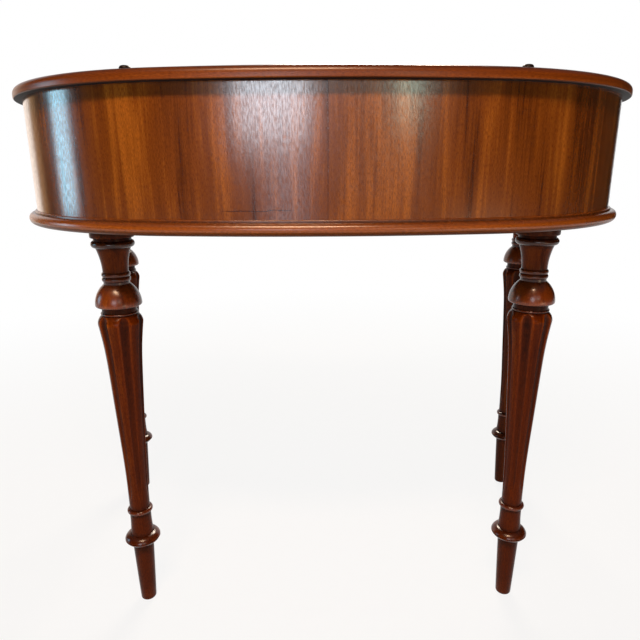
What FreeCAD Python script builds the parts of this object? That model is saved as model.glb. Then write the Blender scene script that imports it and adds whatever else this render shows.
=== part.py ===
import FreeCAD, Part
import math
import os

# Kidney-shaped writing desk in polished mahogany, in millimetres, +Z up.
# The origin is on the floor, under the middle of the plan. The long convex back
# faces -Y and the concave knee side, with its three frieze drawers, faces +Y.

V = FreeCAD.Vector
UP = V(0, 0, 1)

# Heights, from the floor to the writing surface
desk_height = 762.0
top_thickness = 14.0
frieze_height = 148.0
base_torus_height = 15.4
base_bead_height = 3.0

# Plan of the top's edge: arcs that run tangent into each other, from the middle of
# the back, round the right-hand end, to the knee. A heading is the direction of
# travel at the end of an arc, counted from +X.
back_radius = 1237.0
shoulder_radius = 312.0
side_radius = 520.0
nose_radius = 130.0
back_heading = math.radians(8.85)
shoulder_heading = math.radians(78.0)
side_heading = math.radians(95.0)
nose_heading = math.radians(210.0)
knee_heading = math.radians(180.0)

# Edge profiles of the top and of the base
top_round = 8.0
top_under_round = 2.0
frieze_inset = 11.5
base_torus_flat = 0.4
base_bead_proud = 3.0
base_bead_round = 1.2

# Frieze wall, its veneer and its screws
veneer_thickness = 1.0
wall_thickness = 16.0
stile_width = 22.0
base_screw_headings = tuple(math.radians(angle) for angle in (4.0, 25.0, 52.0, 84.0))

# Leather panel and the two studs on the back edge
leather_border = 42.0
leather_thickness = 1.6
stud_heading = math.radians(15.8)
stud_edge_distance = 17.0
stud_radius = 6.5
stud_height = 4.4
stud_round = 3.4
stud_peg_radius = 3.0
stud_peg_length = 8.0

# Legs: places on the plan, and the tenon that holds each one
leg_back_heading = math.radians(34.4)
leg_back_inset = 62.5
leg_front_heading = math.radians(125.5)
leg_front_inset = 59.7
leg_turn = 27.0
tenon_radius = 14.0
tenon_block_depth = 26.0
block_width = 64.0
block_height = 42.0

# Leg turning, from the floor up
foot_tip_radius = 11.5
foot_round = 3.0
foot_top_radius = 15.4
foot_height = 103.0
ring_radius = 25.8
ring_low_height = 7.0
ring_groove_depth = 2.0
ring_groove_height = 2.0
ring_high_height = 7.5
ankle_low_radius = 16.8
ankle_radius = 15.4
ankle_height = 36.0
bead_radius = 18.5
bead_height = 7.0
shaft_foot_radius = 14.6
shaft_top_radius = 29.8
shoulder_height = 12.5
collar_radius = 23.0
collar_bead_radius = 24.8
collar_bead_height = 3.4
collar_height = 7.9
dome_radius = 30.6
dome_lip_round = 2.6
dome_height = 30.7
throat_radius = 17.0
throat_height = 3.0
neck_bead_radius = 18.7
neck_bead_height = 6.5
neck_radius = 16.7
neck_top_radius = 22.8
neck_height = 33.0
torus_radius = 28.0
torus_height = 9.5
groove_radius = 24.2
groove_height = 3.5
disc_radius = 28.4
disc_round = 2.0
disc_height = 12.1

# How far a rounded member bulges from its corner: a true quarter-round, and a softer one
quarter_share = math.sin(math.pi / 4)
soft_round_share = 0.64

# The shaft's hollow taper, as shares of its height and of its gain in radius
shaft_curve_shares = (
    (0.0, 0.0), (0.2, 0.045), (0.47, 0.27), (0.75, 0.535), (0.89, 0.725), (1.0, 1.0),
)
halving_count = 40

# Flutes: a round groove in each sixth of the shaft, which runs out in an arch in the
# shoulder. The places are shares of the shaft's height, and the groove's radius and
# centre are shares of its radius.
flute_count = 6
flute_fade_share = 0.045
flute_full_share = 0.17
flute_top_share = 1.0
flute_mid_shares = (0.35, 0.58, 0.78)
flute_radius_share = 0.30
flute_centre_share = 1.135

# Carcase boards behind the frieze
centre_opening = 336.0
partition_thickness = 14.0
rail_height = 16.0
rail_depth = 40.0
guide_thickness = 13.0
guide_height = 30.0
kicker_width = 12.0
stop_length = 22.0
stop_width = 26.0
stop_height = 6.0

# Blocks and screws that hold the top
top_block_length = 52.0
top_block_width = 22.0
top_block_height = 20.0
top_block_headings = tuple(math.radians(angle) for angle in (3.5, 20.0, 58.0, 86.0))
screw_radius = 2.0
screw_head_radius = 3.8
screw_head_height = 2.6
top_screw_bite = 8.0
base_screw_bite = 24.0

# Drawers
drawer_gap = 1.0
drawer_rest_gap = 0.3
drawer_front_thickness = 20.0
drawer_lap = 7.0
drawer_side_thickness = 9.0
drawer_side_drop = 5.0
drawer_back_thickness = 9.0
drawer_back_housing = 4.0
drawer_back_margin = 4.0
drawer_back_clearance = 8.0
drawer_bottom_thickness = 6.0
drawer_bottom_rise = 9.0
drawer_groove = 4.5
dovetail_pins = 4
pin_root_width = 10.0
pin_tip_width = 5.0

# Drawer furniture: knobs, locks and keyhole plates
knob_spacing = 196.0
knob_radius = 14.0
knob_length = 24.0
knob_base_radius = 9.0
knob_base_height = 2.5
knob_neck_radius = 6.0
knob_shank_radius = 4.0
knob_shank_proud = 2.0
knob_seat_gap = 0.4
lock_width = 46.0
lock_height = 32.0
lock_depth = 9.0
lock_proud = 3.0
lock_drop = 3.0
key_way_depth = 5.0
keyhole_radius = 3.0
keyhole_drop = 20.0
keyhole_plate_radius = 7.5
keyhole_plate_depth = 2.4
keyhole_plate_proud = 0.4

# Fits
tenon_clearance = 0.1
screw_clearance = 0.1
overrun = 5.0

# Levels that follow from the heights
top_under_z = desk_height - top_thickness
frieze_z = top_under_z - frieze_height
bead_z = frieze_z - base_bead_height
base_z = bead_z - base_torus_height
wall_inset = frieze_inset + veneer_thickness
inner_inset = wall_inset + wall_thickness
opening_height = frieze_height - rail_height


# Plan outline


def plan_arcs():
    """Arcs of the right-hand half: centre, radius, first and last heading, back at y = 0."""
    x, y, heading = 0.0, 0.0, 0.0
    arcs = []
    turns = (
        (back_radius, back_heading),
        (shoulder_radius, shoulder_heading),
        (side_radius, side_heading),
        (nose_radius, nose_heading),
    )
    for radius, end in turns:
        centre = V(x - radius * math.sin(heading), y + radius * math.cos(heading), 0)
        arcs.append((centre, radius, heading, end))
        x = centre.x + radius * math.sin(end)
        y = centre.y - radius * math.cos(end)
        heading = end
    knee_radius = -x / math.sin(heading)
    knee_centre = V(0, y - knee_radius * math.cos(heading), 0)
    arcs.append((knee_centre, -knee_radius, heading, knee_heading))
    return arcs


def centred(arcs):
    """Move the arcs so that the middle of the plan's depth is at y = 0."""
    nose_centre, radius = arcs[3][0], arcs[3][1]
    shift = V(0, -(nose_centre.y + radius) / 2, 0)
    return [(arc[0] + shift,) + arc[1:] for arc in arcs]


ARCS = centred(plan_arcs())
BACK, SHOULDER, SIDE, NOSE, KNEE = ARCS


def plan_point(arc, heading, inset, hand=1):
    """Point on an arc of the plan, moved in from the top's edge. hand is -1 on the left."""
    centre, radius = arc[0], arc[1]
    reach = radius - inset
    x = centre.x + reach * math.sin(heading)
    y = centre.y - reach * math.cos(heading)
    return V(hand * x, y, 0)


def plan_edge(arc, inset, hand):
    first, last = arc[2], arc[3]
    points = [plan_point(arc, angle, inset, hand) for angle in (first, (first + last) / 2, last)]
    return Part.Arc(*points).toShape()


def plan_face(inset):
    """The kidney outline, moved in from the top's edge, as a face on the floor."""
    edges = []
    for hand in (1, -1):
        edges += [plan_edge(arc, inset, hand) for arc in ARCS]
    return Part.Face(Part.Wire(Part.__sortEdges__(edges)))


def slab(inset, z, height):
    face = plan_face(inset)
    face.translate(V(0, 0, z))
    return face.extrude(V(0, 0, height))


def ring(inset, thickness, z, height):
    outer = slab(inset, z, height)
    return outer.cut(slab(inset + thickness, z - overrun, height + 2 * overrun))


def box(x0, x1, y0, y1, z0, z1):
    return Part.makeBox(x1 - x0, y1 - y0, z1 - z0, V(x0, y0, z0))


def rod(radius, place, length):
    return Part.makeCylinder(radius, length, place, UP)


def mirrored(shape):
    return shape.mirror(V(0, 0, 0), V(1, 0, 0))


def group(solids):
    return Part.makeCompound(solids)


DEPTH_FRONT = NOSE[0].y + NOSE[1]
WIDEST = SIDE[0].x + SIDE[1]
LEGS = {
    "back_right": plan_point(SHOULDER, leg_back_heading, leg_back_inset),
    "back_left": plan_point(SHOULDER, leg_back_heading, leg_back_inset, -1),
    "front_right": plan_point(NOSE, leg_front_heading, leg_front_inset),
    "front_left": plan_point(NOSE, leg_front_heading, leg_front_inset, -1),
}

# Places across the front that follow from the legs and the middle opening
partition_in = centre_opening / 2
partition_out = partition_in + partition_thickness
guide_in = LEGS["front_right"].x - block_width / 2 - guide_thickness
stile_out = guide_in + stile_width
side_drawer_back_y = LEGS["back_right"].y + block_width / 2 + drawer_back_clearance


def front_piece(x0, x1, z, height, depth):
    """A length of the front, x0 to x1, curved on its face and on its back."""
    reach = box(x0, x1, 0, DEPTH_FRONT, z - overrun, z + height + overrun)
    return ring(frieze_inset, depth, z, height).common(reach)


def edges_at(shape, level):
    """The edges of a shape that lie flat at one height."""
    slack = overrun / 1000
    flat = []
    for edge in shape.Edges:
        bounds = edge.BoundBox
        if abs(bounds.ZMin - level) < slack and abs(bounds.ZMax - level) < slack:
            flat.append(edge)
    return flat


# Top


def arc_with(heading):
    """The arc of the back or of an end on which the edge has this heading."""
    return next(arc for arc in ARCS if arc[2] <= heading <= arc[3])


def screw_places(headings, inset):
    """Places round the back and both ends, one for each heading and hand."""
    places = []
    for heading in headings:
        places += [plan_point(arc_with(heading), heading, inset, hand) for hand in (1, -1)]
    return places


TOP_SCREWS = screw_places(top_block_headings, inner_inset + top_block_width / 2)
BASE_SCREWS = screw_places(base_screw_headings, wall_inset + wall_thickness / 2)
STUDS = [plan_point(SHOULDER, stud_heading, stud_edge_distance, hand) for hand in (1, -1)]


def top_board():
    board = slab(0, top_under_z, top_thickness)
    board = board.makeFillet(top_round, edges_at(board, desk_height))
    board = board.makeFillet(top_under_round, edges_at(board, top_under_z))
    board = board.cut(slab(leather_border, desk_height - leather_thickness, leather_thickness + overrun))
    for place in TOP_SCREWS:
        start = place + V(0, 0, top_under_z - overrun)
        board = board.cut(rod(screw_radius + screw_clearance, start, overrun + top_screw_bite))
    for place in STUDS:
        start = place + V(0, 0, desk_height - stud_peg_length)
        board = board.cut(rod(stud_peg_radius, start, stud_peg_length + overrun))
    return board


def leather_inset():
    return slab(leather_border, desk_height - leather_thickness, leather_thickness)


def stud(place):
    """A small round stud with a rounded rim, on a peg let into the top."""
    cap = rod(stud_radius, V(0, 0, 0), stud_height)
    cap = cap.makeFillet(stud_round, edges_at(cap, stud_height))
    peg = rod(stud_peg_radius, V(0, 0, -stud_peg_length), stud_peg_length)
    button = cap.fuse(peg).removeSplitter()
    button.translate(place + V(0, 0, desk_height))
    return button


def top_studs():
    return group([stud(place) for place in STUDS])


# Frieze and base


def back_of_front(shape):
    """Cut away the stretch of a ring that the drawers and stiles fill."""
    low = frieze_z - overrun
    high = top_under_z + overrun
    return shape.cut(box(-stile_out, stile_out, 0, DEPTH_FRONT + overrun, low, high))


def frieze_core():
    core = back_of_front(ring(wall_inset, wall_thickness, frieze_z, frieze_height))
    for place in BASE_SCREWS:
        start = place + V(0, 0, frieze_z - overrun)
        core = core.cut(rod(screw_radius + screw_clearance, start, overrun + base_screw_bite))
    return core


def veneer(hand):
    skin = back_of_front(ring(frieze_inset, veneer_thickness, frieze_z, frieze_height))
    reach = WIDEST * hand
    low = frieze_z - overrun
    high = top_under_z + overrun
    return skin.common(box(min(0, reach), max(0, reach), -DEPTH_FRONT, DEPTH_FRONT, low, high))


def base_board():
    torus = slab(0, base_z, base_torus_height)
    torus_round = (base_torus_height - base_torus_flat) / 2
    torus = torus.makeFillet(torus_round, edges_at(torus, bead_z) + edges_at(torus, base_z))
    bead = slab(frieze_inset - base_bead_proud, bead_z, base_bead_height)
    bead = bead.makeFillet(base_bead_round, edges_at(bead, frieze_z))
    board = torus.fuse(bead).removeSplitter()
    thickness = frieze_z - base_z
    for place in LEGS.values():
        start = place + V(0, 0, base_z - overrun)
        board = board.cut(rod(tenon_radius + tenon_clearance, start, thickness + 2 * overrun))
    for place in BASE_SCREWS:
        start = place + V(0, 0, base_z - overrun)
        board = board.cut(rod(screw_radius + screw_clearance, start, thickness + 2 * overrun))
        board = board.cut(rod(screw_head_radius + screw_clearance, start, overrun + screw_head_height))
    return board


# Legs


def at(radius, z):
    return V(radius, 0, z)


def line(start, end):
    return Part.LineSegment(start, end).toShape()


def arc_through(start, middle, end):
    return Part.Arc(start, middle, end).toShape()


def corner(level, upright, share=quarter_share):
    """A rounded corner, from the end that runs level to the end that runs upright."""
    wide = level.x + (upright.x - level.x) * share
    tall = upright.z + (level.z - upright.z) * share
    return arc_through(level, at(wide, tall), upright)


def swell(start, end, radius):
    """A bead: from one place on the turning to the next, out to a radius half-way."""
    return arc_through(start, at(radius, (start.z + end.z) / 2), end)


def leg_heights():
    """Level of the foot of each turned member; the shaft takes what the others leave."""
    below = {"foot": foot_height, "ring_low": ring_low_height, "ring_groove": ring_groove_height}
    below.update({"ring_high": ring_high_height, "ankle": ankle_height, "bead": bead_height})
    above = {"shoulder": shoulder_height, "collar_bead": collar_bead_height, "collar": collar_height}
    above.update({"dome": dome_height, "throat": throat_height, "bead_low": neck_bead_height})
    above.update({"bead_high": neck_bead_height, "neck": neck_height, "torus": torus_height})
    above.update({"groove": groove_height, "disc": disc_height})
    shaft = base_z - sum(below.values()) - sum(above.values())
    levels, z = {}, 0.0
    for name, height in list(below.items()) + [("shaft", shaft)] + list(above.items()):
        levels[name] = z
        z += height
    levels["tenon"] = z
    return levels


LEVEL = leg_heights()


def shaft_curve():
    height = LEVEL["shoulder"] - LEVEL["shaft"]
    gain = shaft_top_radius - shaft_foot_radius
    curve = Part.BSplineCurve()
    curve.interpolate([
        at(shaft_foot_radius + gain * wide, LEVEL["shaft"] + height * tall)
        for tall, wide in shaft_curve_shares
    ])
    return curve


def shaft_radius(share):
    """Radius of the shaft at a share of its height, found by halving the curve."""
    curve = shaft_curve()
    z = LEVEL["shaft"] + (LEVEL["shoulder"] - LEVEL["shaft"]) * share
    low, high = curve.FirstParameter, curve.LastParameter
    for _ in range(halving_count):
        middle = (low + high) / 2
        if curve.value(middle).z < z:
            low = middle
        else:
            high = middle
    return curve.value(low).x


def foot_profile():
    tip = at(foot_tip_radius - foot_round, 0)
    heel = at(foot_tip_radius, foot_round)
    top = at(foot_top_radius, LEVEL["ring_low"])
    return [line(at(0, 0), tip), corner(tip, heel), line(heel, top)]


def ring_profile():
    """Two half-rounds with a narrow groove between them, and the waist above."""
    low = at(foot_top_radius, LEVEL["ring_low"])
    low_out = at(ring_radius, LEVEL["ring_groove"])
    groove = at(ring_radius - ring_groove_depth, LEVEL["ring_groove"] + ring_groove_height / 2)
    high_out = at(ring_radius, LEVEL["ring_high"])
    high = at(ankle_low_radius, LEVEL["ankle"])
    waist = at(ankle_radius, LEVEL["bead"])
    shaft = at(shaft_foot_radius, LEVEL["shaft"])
    waist_middle = at(ankle_radius, (high.z + waist.z) / 2)
    return [
        corner(low, low_out, soft_round_share), line(low_out, groove), line(groove, high_out),
        corner(high, high_out, soft_round_share),
        arc_through(high, waist_middle, waist), swell(waist, shaft, bead_radius),
    ]


def dome_profile():
    shoulder = at(shaft_top_radius, LEVEL["shoulder"])
    collar_low = at(collar_radius, LEVEL["collar_bead"])
    collar_high = at(collar_radius, LEVEL["collar"])
    under = at(collar_radius, LEVEL["dome"])
    lip_in = at(dome_radius - dome_lip_round, LEVEL["dome"])
    lip_out = at(dome_radius, LEVEL["dome"] + dome_lip_round)
    crown = at(throat_radius, LEVEL["throat"])
    return [
        shaft_curve().toShape(), corner(collar_low, shoulder, soft_round_share),
        swell(collar_low, collar_high, collar_bead_radius), line(collar_high, under),
        line(under, lip_in), corner(lip_in, lip_out),
        corner(crown, lip_out, soft_round_share),
    ]


def neck_profile():
    crown = at(throat_radius, LEVEL["throat"])
    throat = at(throat_radius, LEVEL["bead_low"])
    between = at(throat_radius, LEVEL["bead_high"])
    neck = at(neck_radius, LEVEL["neck"])
    flare = at(neck_top_radius, LEVEL["torus"])
    rise = flare.z - neck.z
    flare_radius = (rise ** 2 + (flare.x - neck.x) ** 2) / (2 * (flare.x - neck.x))
    half = rise / 2
    hollow = at(neck.x + flare_radius - math.sqrt(flare_radius ** 2 - half ** 2), neck.z + half)
    return [
        line(crown, throat), swell(throat, between, neck_bead_radius),
        swell(between, neck, neck_bead_radius), arc_through(neck, hollow, flare),
    ]


def disc_profile():
    flare = at(neck_top_radius, LEVEL["torus"])
    groove_low = at(groove_radius, LEVEL["groove"])
    groove_high = at(groove_radius, LEVEL["disc"])
    disc_in = at(disc_radius - disc_round, LEVEL["disc"])
    disc_out = at(disc_radius, LEVEL["disc"] + disc_round)
    seat = at(disc_radius, LEVEL["tenon"])
    tenon_low = at(tenon_radius, LEVEL["tenon"])
    tenon_high = at(tenon_radius, frieze_z + tenon_block_depth)
    return [
        swell(flare, groove_low, torus_radius), line(groove_low, groove_high),
        line(groove_high, disc_in), corner(disc_in, disc_out), line(disc_out, seat),
        line(seat, tenon_low), line(tenon_low, tenon_high), line(tenon_high, at(0, tenon_high.z)),
        line(at(0, tenon_high.z), at(0, 0)),
    ]


def flute_section(share, depth_share):
    """Circle of the cutter at one share of the shaft, sunk by a share of its full depth."""
    radius = shaft_radius(share)
    z = LEVEL["shaft"] + (LEVEL["shoulder"] - LEVEL["shaft"]) * share
    size = radius * flute_radius_share
    clear = radius + size
    centre = clear + (radius * flute_centre_share - clear) * depth_share
    return V(centre, 0, z), size


def flute_cutter():
    stations = [flute_section(flute_fade_share, 0.0)]
    for share in (flute_full_share,) + flute_mid_shares + (flute_top_share,):
        stations.append(flute_section(share, 1.0))
    wires = [Part.Wire(Part.makeCircle(size, centre, UP)) for centre, size in stations]
    groove = Part.makeLoft(wires, True, False)
    centre, size = stations[-1]
    return groove.fuse(rod(size, centre, shoulder_height))


def plain_leg():
    edges = foot_profile() + ring_profile() + dome_profile() + neck_profile() + disc_profile()
    face = Part.Face(Part.Wire(Part.__sortEdges__(edges)))
    leg = face.revolve(V(0, 0, 0), UP, 360)
    cutter = flute_cutter()
    grooves = []
    for index in range(flute_count):
        groove = cutter.copy()
        groove.rotate(V(0, 0, 0), UP, index * 360 / flute_count)
        grooves.append(groove)
    return leg.cut(grooves)


def leg_block(place):
    half = block_width / 2
    high = frieze_z + block_height
    block = box(place.x - half, place.x + half, place.y - half, place.y + half, frieze_z, high)
    block = block.common(slab(inner_inset, frieze_z, block_height))
    socket = rod(tenon_radius + tenon_clearance, place + V(0, 0, frieze_z), tenon_block_depth)
    return block.cut(socket)


# Carcase boards


def partition():
    """Board between two drawers: its front edge shows, its back meets the wall."""
    reach = box(partition_in, partition_out, -DEPTH_FRONT, DEPTH_FRONT, frieze_z, top_under_z)
    front = box(partition_in, partition_out, 0, DEPTH_FRONT, frieze_z, top_under_z)
    board = reach.common(slab(inner_inset, frieze_z, frieze_height))
    board = board.fuse(front.common(slab(frieze_inset, frieze_z, frieze_height)))
    return board.removeSplitter()


def stile():
    depth = inner_inset - frieze_inset
    return front_piece(guide_in, stile_out, frieze_z, frieze_height, depth)


def top_rail(x0, x1):
    return front_piece(x0, x1, top_under_z - rail_height, rail_height, rail_depth)


def drawer_guide():
    reach = box(guide_in, guide_in + guide_thickness, side_drawer_back_y, DEPTH_FRONT, frieze_z,
                frieze_z + guide_height)
    return reach.common(slab(inner_inset, frieze_z, guide_height))


def kicker(x):
    """Strip under the top that keeps an open drawer from tipping."""
    low = top_under_z - rail_height
    reach = box(x, x + kicker_width, -DEPTH_FRONT, DEPTH_FRONT, low, top_under_z)
    behind = slab(inner_inset + top_block_width, low, rail_height)
    return reach.common(behind).cut(rail_band(low))


def rail_band(z):
    """The band along the front that the top rails fill."""
    band = ring(frieze_inset, rail_depth, z - overrun, rail_height + 2 * overrun)
    return band.common(box(-stile_out, stile_out, 0, DEPTH_FRONT, z - overrun, top_under_z + overrun))


def kickers():
    strips = []
    for x in (partition_in - kicker_width, partition_out):
        strips += [kicker(x), mirrored(kicker(x))]
    return group(strips)


def drawer_stop(x):
    """Small block on the base that the back of a drawer front comes to rest on."""
    inset = frieze_inset + drawer_front_thickness + drawer_rest_gap
    reach = box(x, x + stop_width, 0, DEPTH_FRONT, frieze_z, frieze_z + stop_height)
    return reach.common(ring(inset, stop_length, frieze_z, stop_height))


def drawer_stops():
    inner = drawer_gap + drawer_side_thickness + drawer_gap
    middle = drawer_stop(partition_in - inner - stop_width)
    outer = drawer_stop(partition_out + inner)
    return group([middle, mirrored(middle), outer, mirrored(outer)])


def top_block(heading, hand):
    """Block in the corner of the wall and the top, shaped to the wall, bored for a screw."""
    low = top_under_z - top_block_height
    half = top_block_length / 2
    block = box(-half, half, -overrun, top_block_width, low, top_under_z)
    block.rotate(V(0, 0, 0), UP, math.degrees(heading) * hand)
    block.translate(plan_point(arc_with(heading), heading, inner_inset, hand))
    return block.common(slab(inner_inset, low, top_block_height))


def top_blocks():
    bores = [rod(screw_radius + screw_clearance, place + V(0, 0, frieze_z), frieze_height)
             for place in TOP_SCREWS]
    blocks = []
    for heading in top_block_headings:
        for hand in (1, -1):
            block = top_block(heading, hand)
            for bore in bores:
                block = block.cut(bore)
            blocks.append(block)
    return group(blocks)


def screw(place, z, length):
    """A round-headed wood screw driven upwards; z is the underside of what it holds."""
    shank = rod(screw_radius, place + V(0, 0, z), length)
    head = rod(screw_head_radius, place + V(0, 0, z - screw_head_height), screw_head_height)
    return shank.fuse(head).removeSplitter()


def top_screws():
    low = top_under_z - top_block_height
    return group([screw(place, low, top_block_height + top_screw_bite) for place in TOP_SCREWS])


def base_screws():
    low = base_z + screw_head_height
    return group([screw(place, low, frieze_z - low + base_screw_bite) for place in BASE_SCREWS])


# Drawers


def front_place(x):
    """Point on the face of the front at x, and the angle by which the face turns from +Y."""
    joint = plan_point(NOSE, nose_heading, frieze_inset).x
    if abs(x) < joint:
        centre, reach = KNEE[0], KNEE[1] - frieze_inset
        heading = math.asin(x / reach)
        point = V(x, centre.y + reach * math.cos(heading), 0)
        return point, -math.degrees(heading)
    centre, reach = NOSE[0], NOSE[1] - frieze_inset
    hand = math.copysign(1, x)
    heading = math.asin((abs(x) - centre.x) / reach)
    point = V(x, centre.y + reach * math.cos(heading), 0)
    return point, -math.degrees(heading) * hand


def on_front(shape, x, z):
    """Put a piece that faces +Y on the front, square to the face at x."""
    point, angle = front_place(x)
    shape.rotate(V(0, 0, 0), UP, angle)
    shape.translate(point + V(0, 0, z))
    return shape


def facing(shape):
    """Turn a piece that was made along +Z so that it points along +Y."""
    shape.rotate(V(0, 0, 0), V(1, 0, 0), -90)
    return shape


def knob():
    """Turned knob: a seat, a waist, a flattened ball, and a shank that comes out inside the drawer."""
    seat = knob_base_height
    ball_z = knob_length - knob_radius
    shank_z = -drawer_front_thickness - knob_shank_proud
    profile = [
        line(at(0, shank_z), at(knob_shank_radius, shank_z)),
        line(at(knob_shank_radius, shank_z), at(knob_shank_radius, knob_seat_gap)),
        line(at(knob_shank_radius, knob_seat_gap), at(knob_base_radius, knob_seat_gap)),
        line(at(knob_base_radius, knob_seat_gap), at(knob_base_radius, seat)),
        arc_through(at(knob_base_radius, seat), at(knob_neck_radius, (seat + ball_z) / 2),
                    at(knob_base_radius, ball_z)),
        swell(at(knob_base_radius, ball_z), at(knob_base_radius, knob_length), knob_radius),
        line(at(knob_base_radius, knob_length), at(0, knob_length)),
        line(at(0, knob_length), at(0, shank_z)),
    ]
    face = Part.Face(Part.Wire(profile))
    return facing(face.revolve(V(0, 0, 0), UP, 360))


def lock_case():
    """Lock let into the back of the front, a little proud of it, with its top edge at z = 0."""
    inner = -drawer_front_thickness
    return box(-lock_width / 2, lock_width / 2, inner - lock_proud, inner + lock_depth, -lock_height, 0)


def plate_disc():
    return facing(rod(keyhole_plate_radius, V(0, 0, -keyhole_plate_depth),
                      keyhole_plate_depth + keyhole_plate_proud))


def key_way():
    """The key's way from outside the front to the middle of the lock."""
    depth = drawer_front_thickness - lock_depth + key_way_depth
    return facing(rod(keyhole_radius, V(0, 0, -depth), depth + overrun))


def dovetail_gaps(x0, x1, low, high, front):
    """The gaps between a side's dovetails, which the pins of the drawer front fill."""
    half_root, half_tip = pin_root_width / 2, pin_tip_width / 2
    root_y = min(front_place(x)[0].y for x in (x0, x1)) - 2 * drawer_front_thickness
    tip_y = max(front_place(x)[0].y for x in (x0, x1))
    pitch = (high - low) / dovetail_pins
    gaps = []
    for index in range(dovetail_pins):
        z = low + pitch * (index + 1 / 2)
        corners = [V(x0, root_y, z - half_root), V(x0, tip_y, z - half_tip),
                   V(x0, tip_y, z + half_tip), V(x0, root_y, z + half_root)]
        wedge = Part.Face(Part.makePolygon(corners + corners[:1])).extrude(V(x1 - x0, 0, 0))
        gaps.append(wedge.common(front))
    return gaps


def drawer(x0, x1, back_y, knob_places):
    """The pieces of one drawer that fills the opening from x0 to x1."""
    left, right = x0 + drawer_gap, x1 - drawer_gap
    low = frieze_z + drawer_rest_gap
    front_height = opening_height - drawer_rest_gap - drawer_gap
    high = low + front_height
    side_high = high - drawer_side_drop
    front = front_piece(left, right, low, front_height, drawer_front_thickness)

    lapped = slab(frieze_inset + drawer_lap, low, front_height)
    in_left, in_right = left + drawer_side_thickness, right - drawer_side_thickness
    side_left = box(left, in_left, back_y, DEPTH_FRONT, low, side_high).common(lapped)
    side_left = side_left.cut(dovetail_gaps(left, in_left, low, side_high, front))
    side_right = box(in_right, right, back_y, DEPTH_FRONT, low, side_high).common(lapped)
    side_right = side_right.cut(dovetail_gaps(in_right, right, low, side_high, front))

    bottom_z = low + drawer_bottom_rise
    bottom_top = bottom_z + drawer_bottom_thickness
    groove_inset = frieze_inset + drawer_front_thickness - drawer_groove
    bottom = box(in_left - drawer_groove, in_right + drawer_groove, back_y, DEPTH_FRONT,
                 bottom_z, bottom_top)
    bottom = bottom.common(slab(groove_inset, bottom_z, drawer_bottom_thickness))

    back_face = back_y + drawer_back_margin
    back = box(in_left - drawer_back_housing, in_right + drawer_back_housing, back_face,
               back_face + drawer_back_thickness, bottom_top, side_high)

    middle = (x0 + x1) / 2
    lock = on_front(lock_case(), middle, high - lock_drop)
    plate = on_front(plate_disc(), middle, high - keyhole_drop)
    way = on_front(key_way(), middle, high - keyhole_drop)
    knobs = [on_front(knob(), x, low + front_height / 2) for x in knob_places]
    for piece in [side_left, side_right, bottom, lock, plate, way] + knobs:
        front = front.cut(piece)
    side_left = side_left.cut(bottom).cut(back)
    side_right = side_right.cut(bottom).cut(back)
    return {
        "front": front, "side_left": side_left, "side_right": side_right, "back": back,
        "bottom": bottom, "knobs": group(knobs), "lock": lock.cut(way), "keyhole_plate": plate.cut(way),
    }


def centre_drawer_back_y():
    """The middle drawer stops short of the blocks in the corner of the wall and the top."""
    reach = BACK[1] - inner_inset - top_block_width
    return BACK[0].y - math.sqrt(reach ** 2 - partition_in ** 2) + drawer_back_clearance


def desk_pieces():
    pieces = {
        "top_board": top_board(), "leather_inset": leather_inset(), "top_studs": top_studs(),
        "frieze_core": frieze_core(), "veneer_right": veneer(1), "veneer_left": veneer(-1),
        "base_board": base_board(), "kickers": kickers(), "drawer_stops": drawer_stops(),
        "top_blocks": top_blocks(), "top_screws": top_screws(), "base_screws": base_screws(),
        "top_rail_centre": top_rail(-partition_in, partition_in),
    }
    for name, shape in (("partition", partition()), ("stile", stile()), ("drawer_guide", drawer_guide()),
                        ("top_rail", top_rail(partition_out, guide_in))):
        pieces[name + "_right"] = shape
        pieces[name + "_left"] = mirrored(shape)
    leg = plain_leg()
    for name, place in LEGS.items():
        turned = leg.copy()
        hand = math.copysign(1, place.x)
        turned.rotate(V(0, 0, 0), UP, -90 - leg_turn * hand)
        turned.translate(place)
        pieces["leg_" + name] = turned
        pieces["leg_block_" + name] = leg_block(place)
    return pieces


def drawer_pieces():
    side_middle = (partition_out + guide_in) / 2
    pair = (-knob_spacing / 2, knob_spacing / 2)
    drawers = {
        "centre": drawer(-partition_in, partition_in, centre_drawer_back_y(), pair),
        "right": drawer(partition_out, guide_in, side_drawer_back_y, (side_middle,)),
        "left": drawer(-guide_in, -partition_out, side_drawer_back_y, (-side_middle,)),
    }
    return {"drawer_%s_%s" % (name, piece): shape
            for name, group_of in drawers.items() for piece, shape in group_of.items()}


def main():
    os.makedirs("parts", exist_ok=True)
    pieces = desk_pieces()
    pieces.update(drawer_pieces())
    for name, shape in pieces.items():
        sound = shape.isValid() and all(solid.Volume > 0 for solid in shape.Solids)
        print("%-28s solids %2d  volume %9.0f  %s" % (name, len(shape.Solids), shape.Volume, sound))
        shape.exportStep("parts/%s.step" % name)
    print("plan %.1f x %.1f, leg places %s" % (2 * WIDEST, 2 * DEPTH_FRONT, LEGS))


main()
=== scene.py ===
# %% [markdown]
# # A kidney-shaped mahogany desk
# The desk stands with its long bowed back towards the camera. The solids of the packed
# model come first, as a fixed frame in metres, with +Z up and the drawers opening along +Y.
# Pieces that show polish and fine edges are then made again as smooth meshes over that frame.

# %% Load the frame
import math

import bpy
import numpy as np
from mathutils import Matrix, Vector


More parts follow.
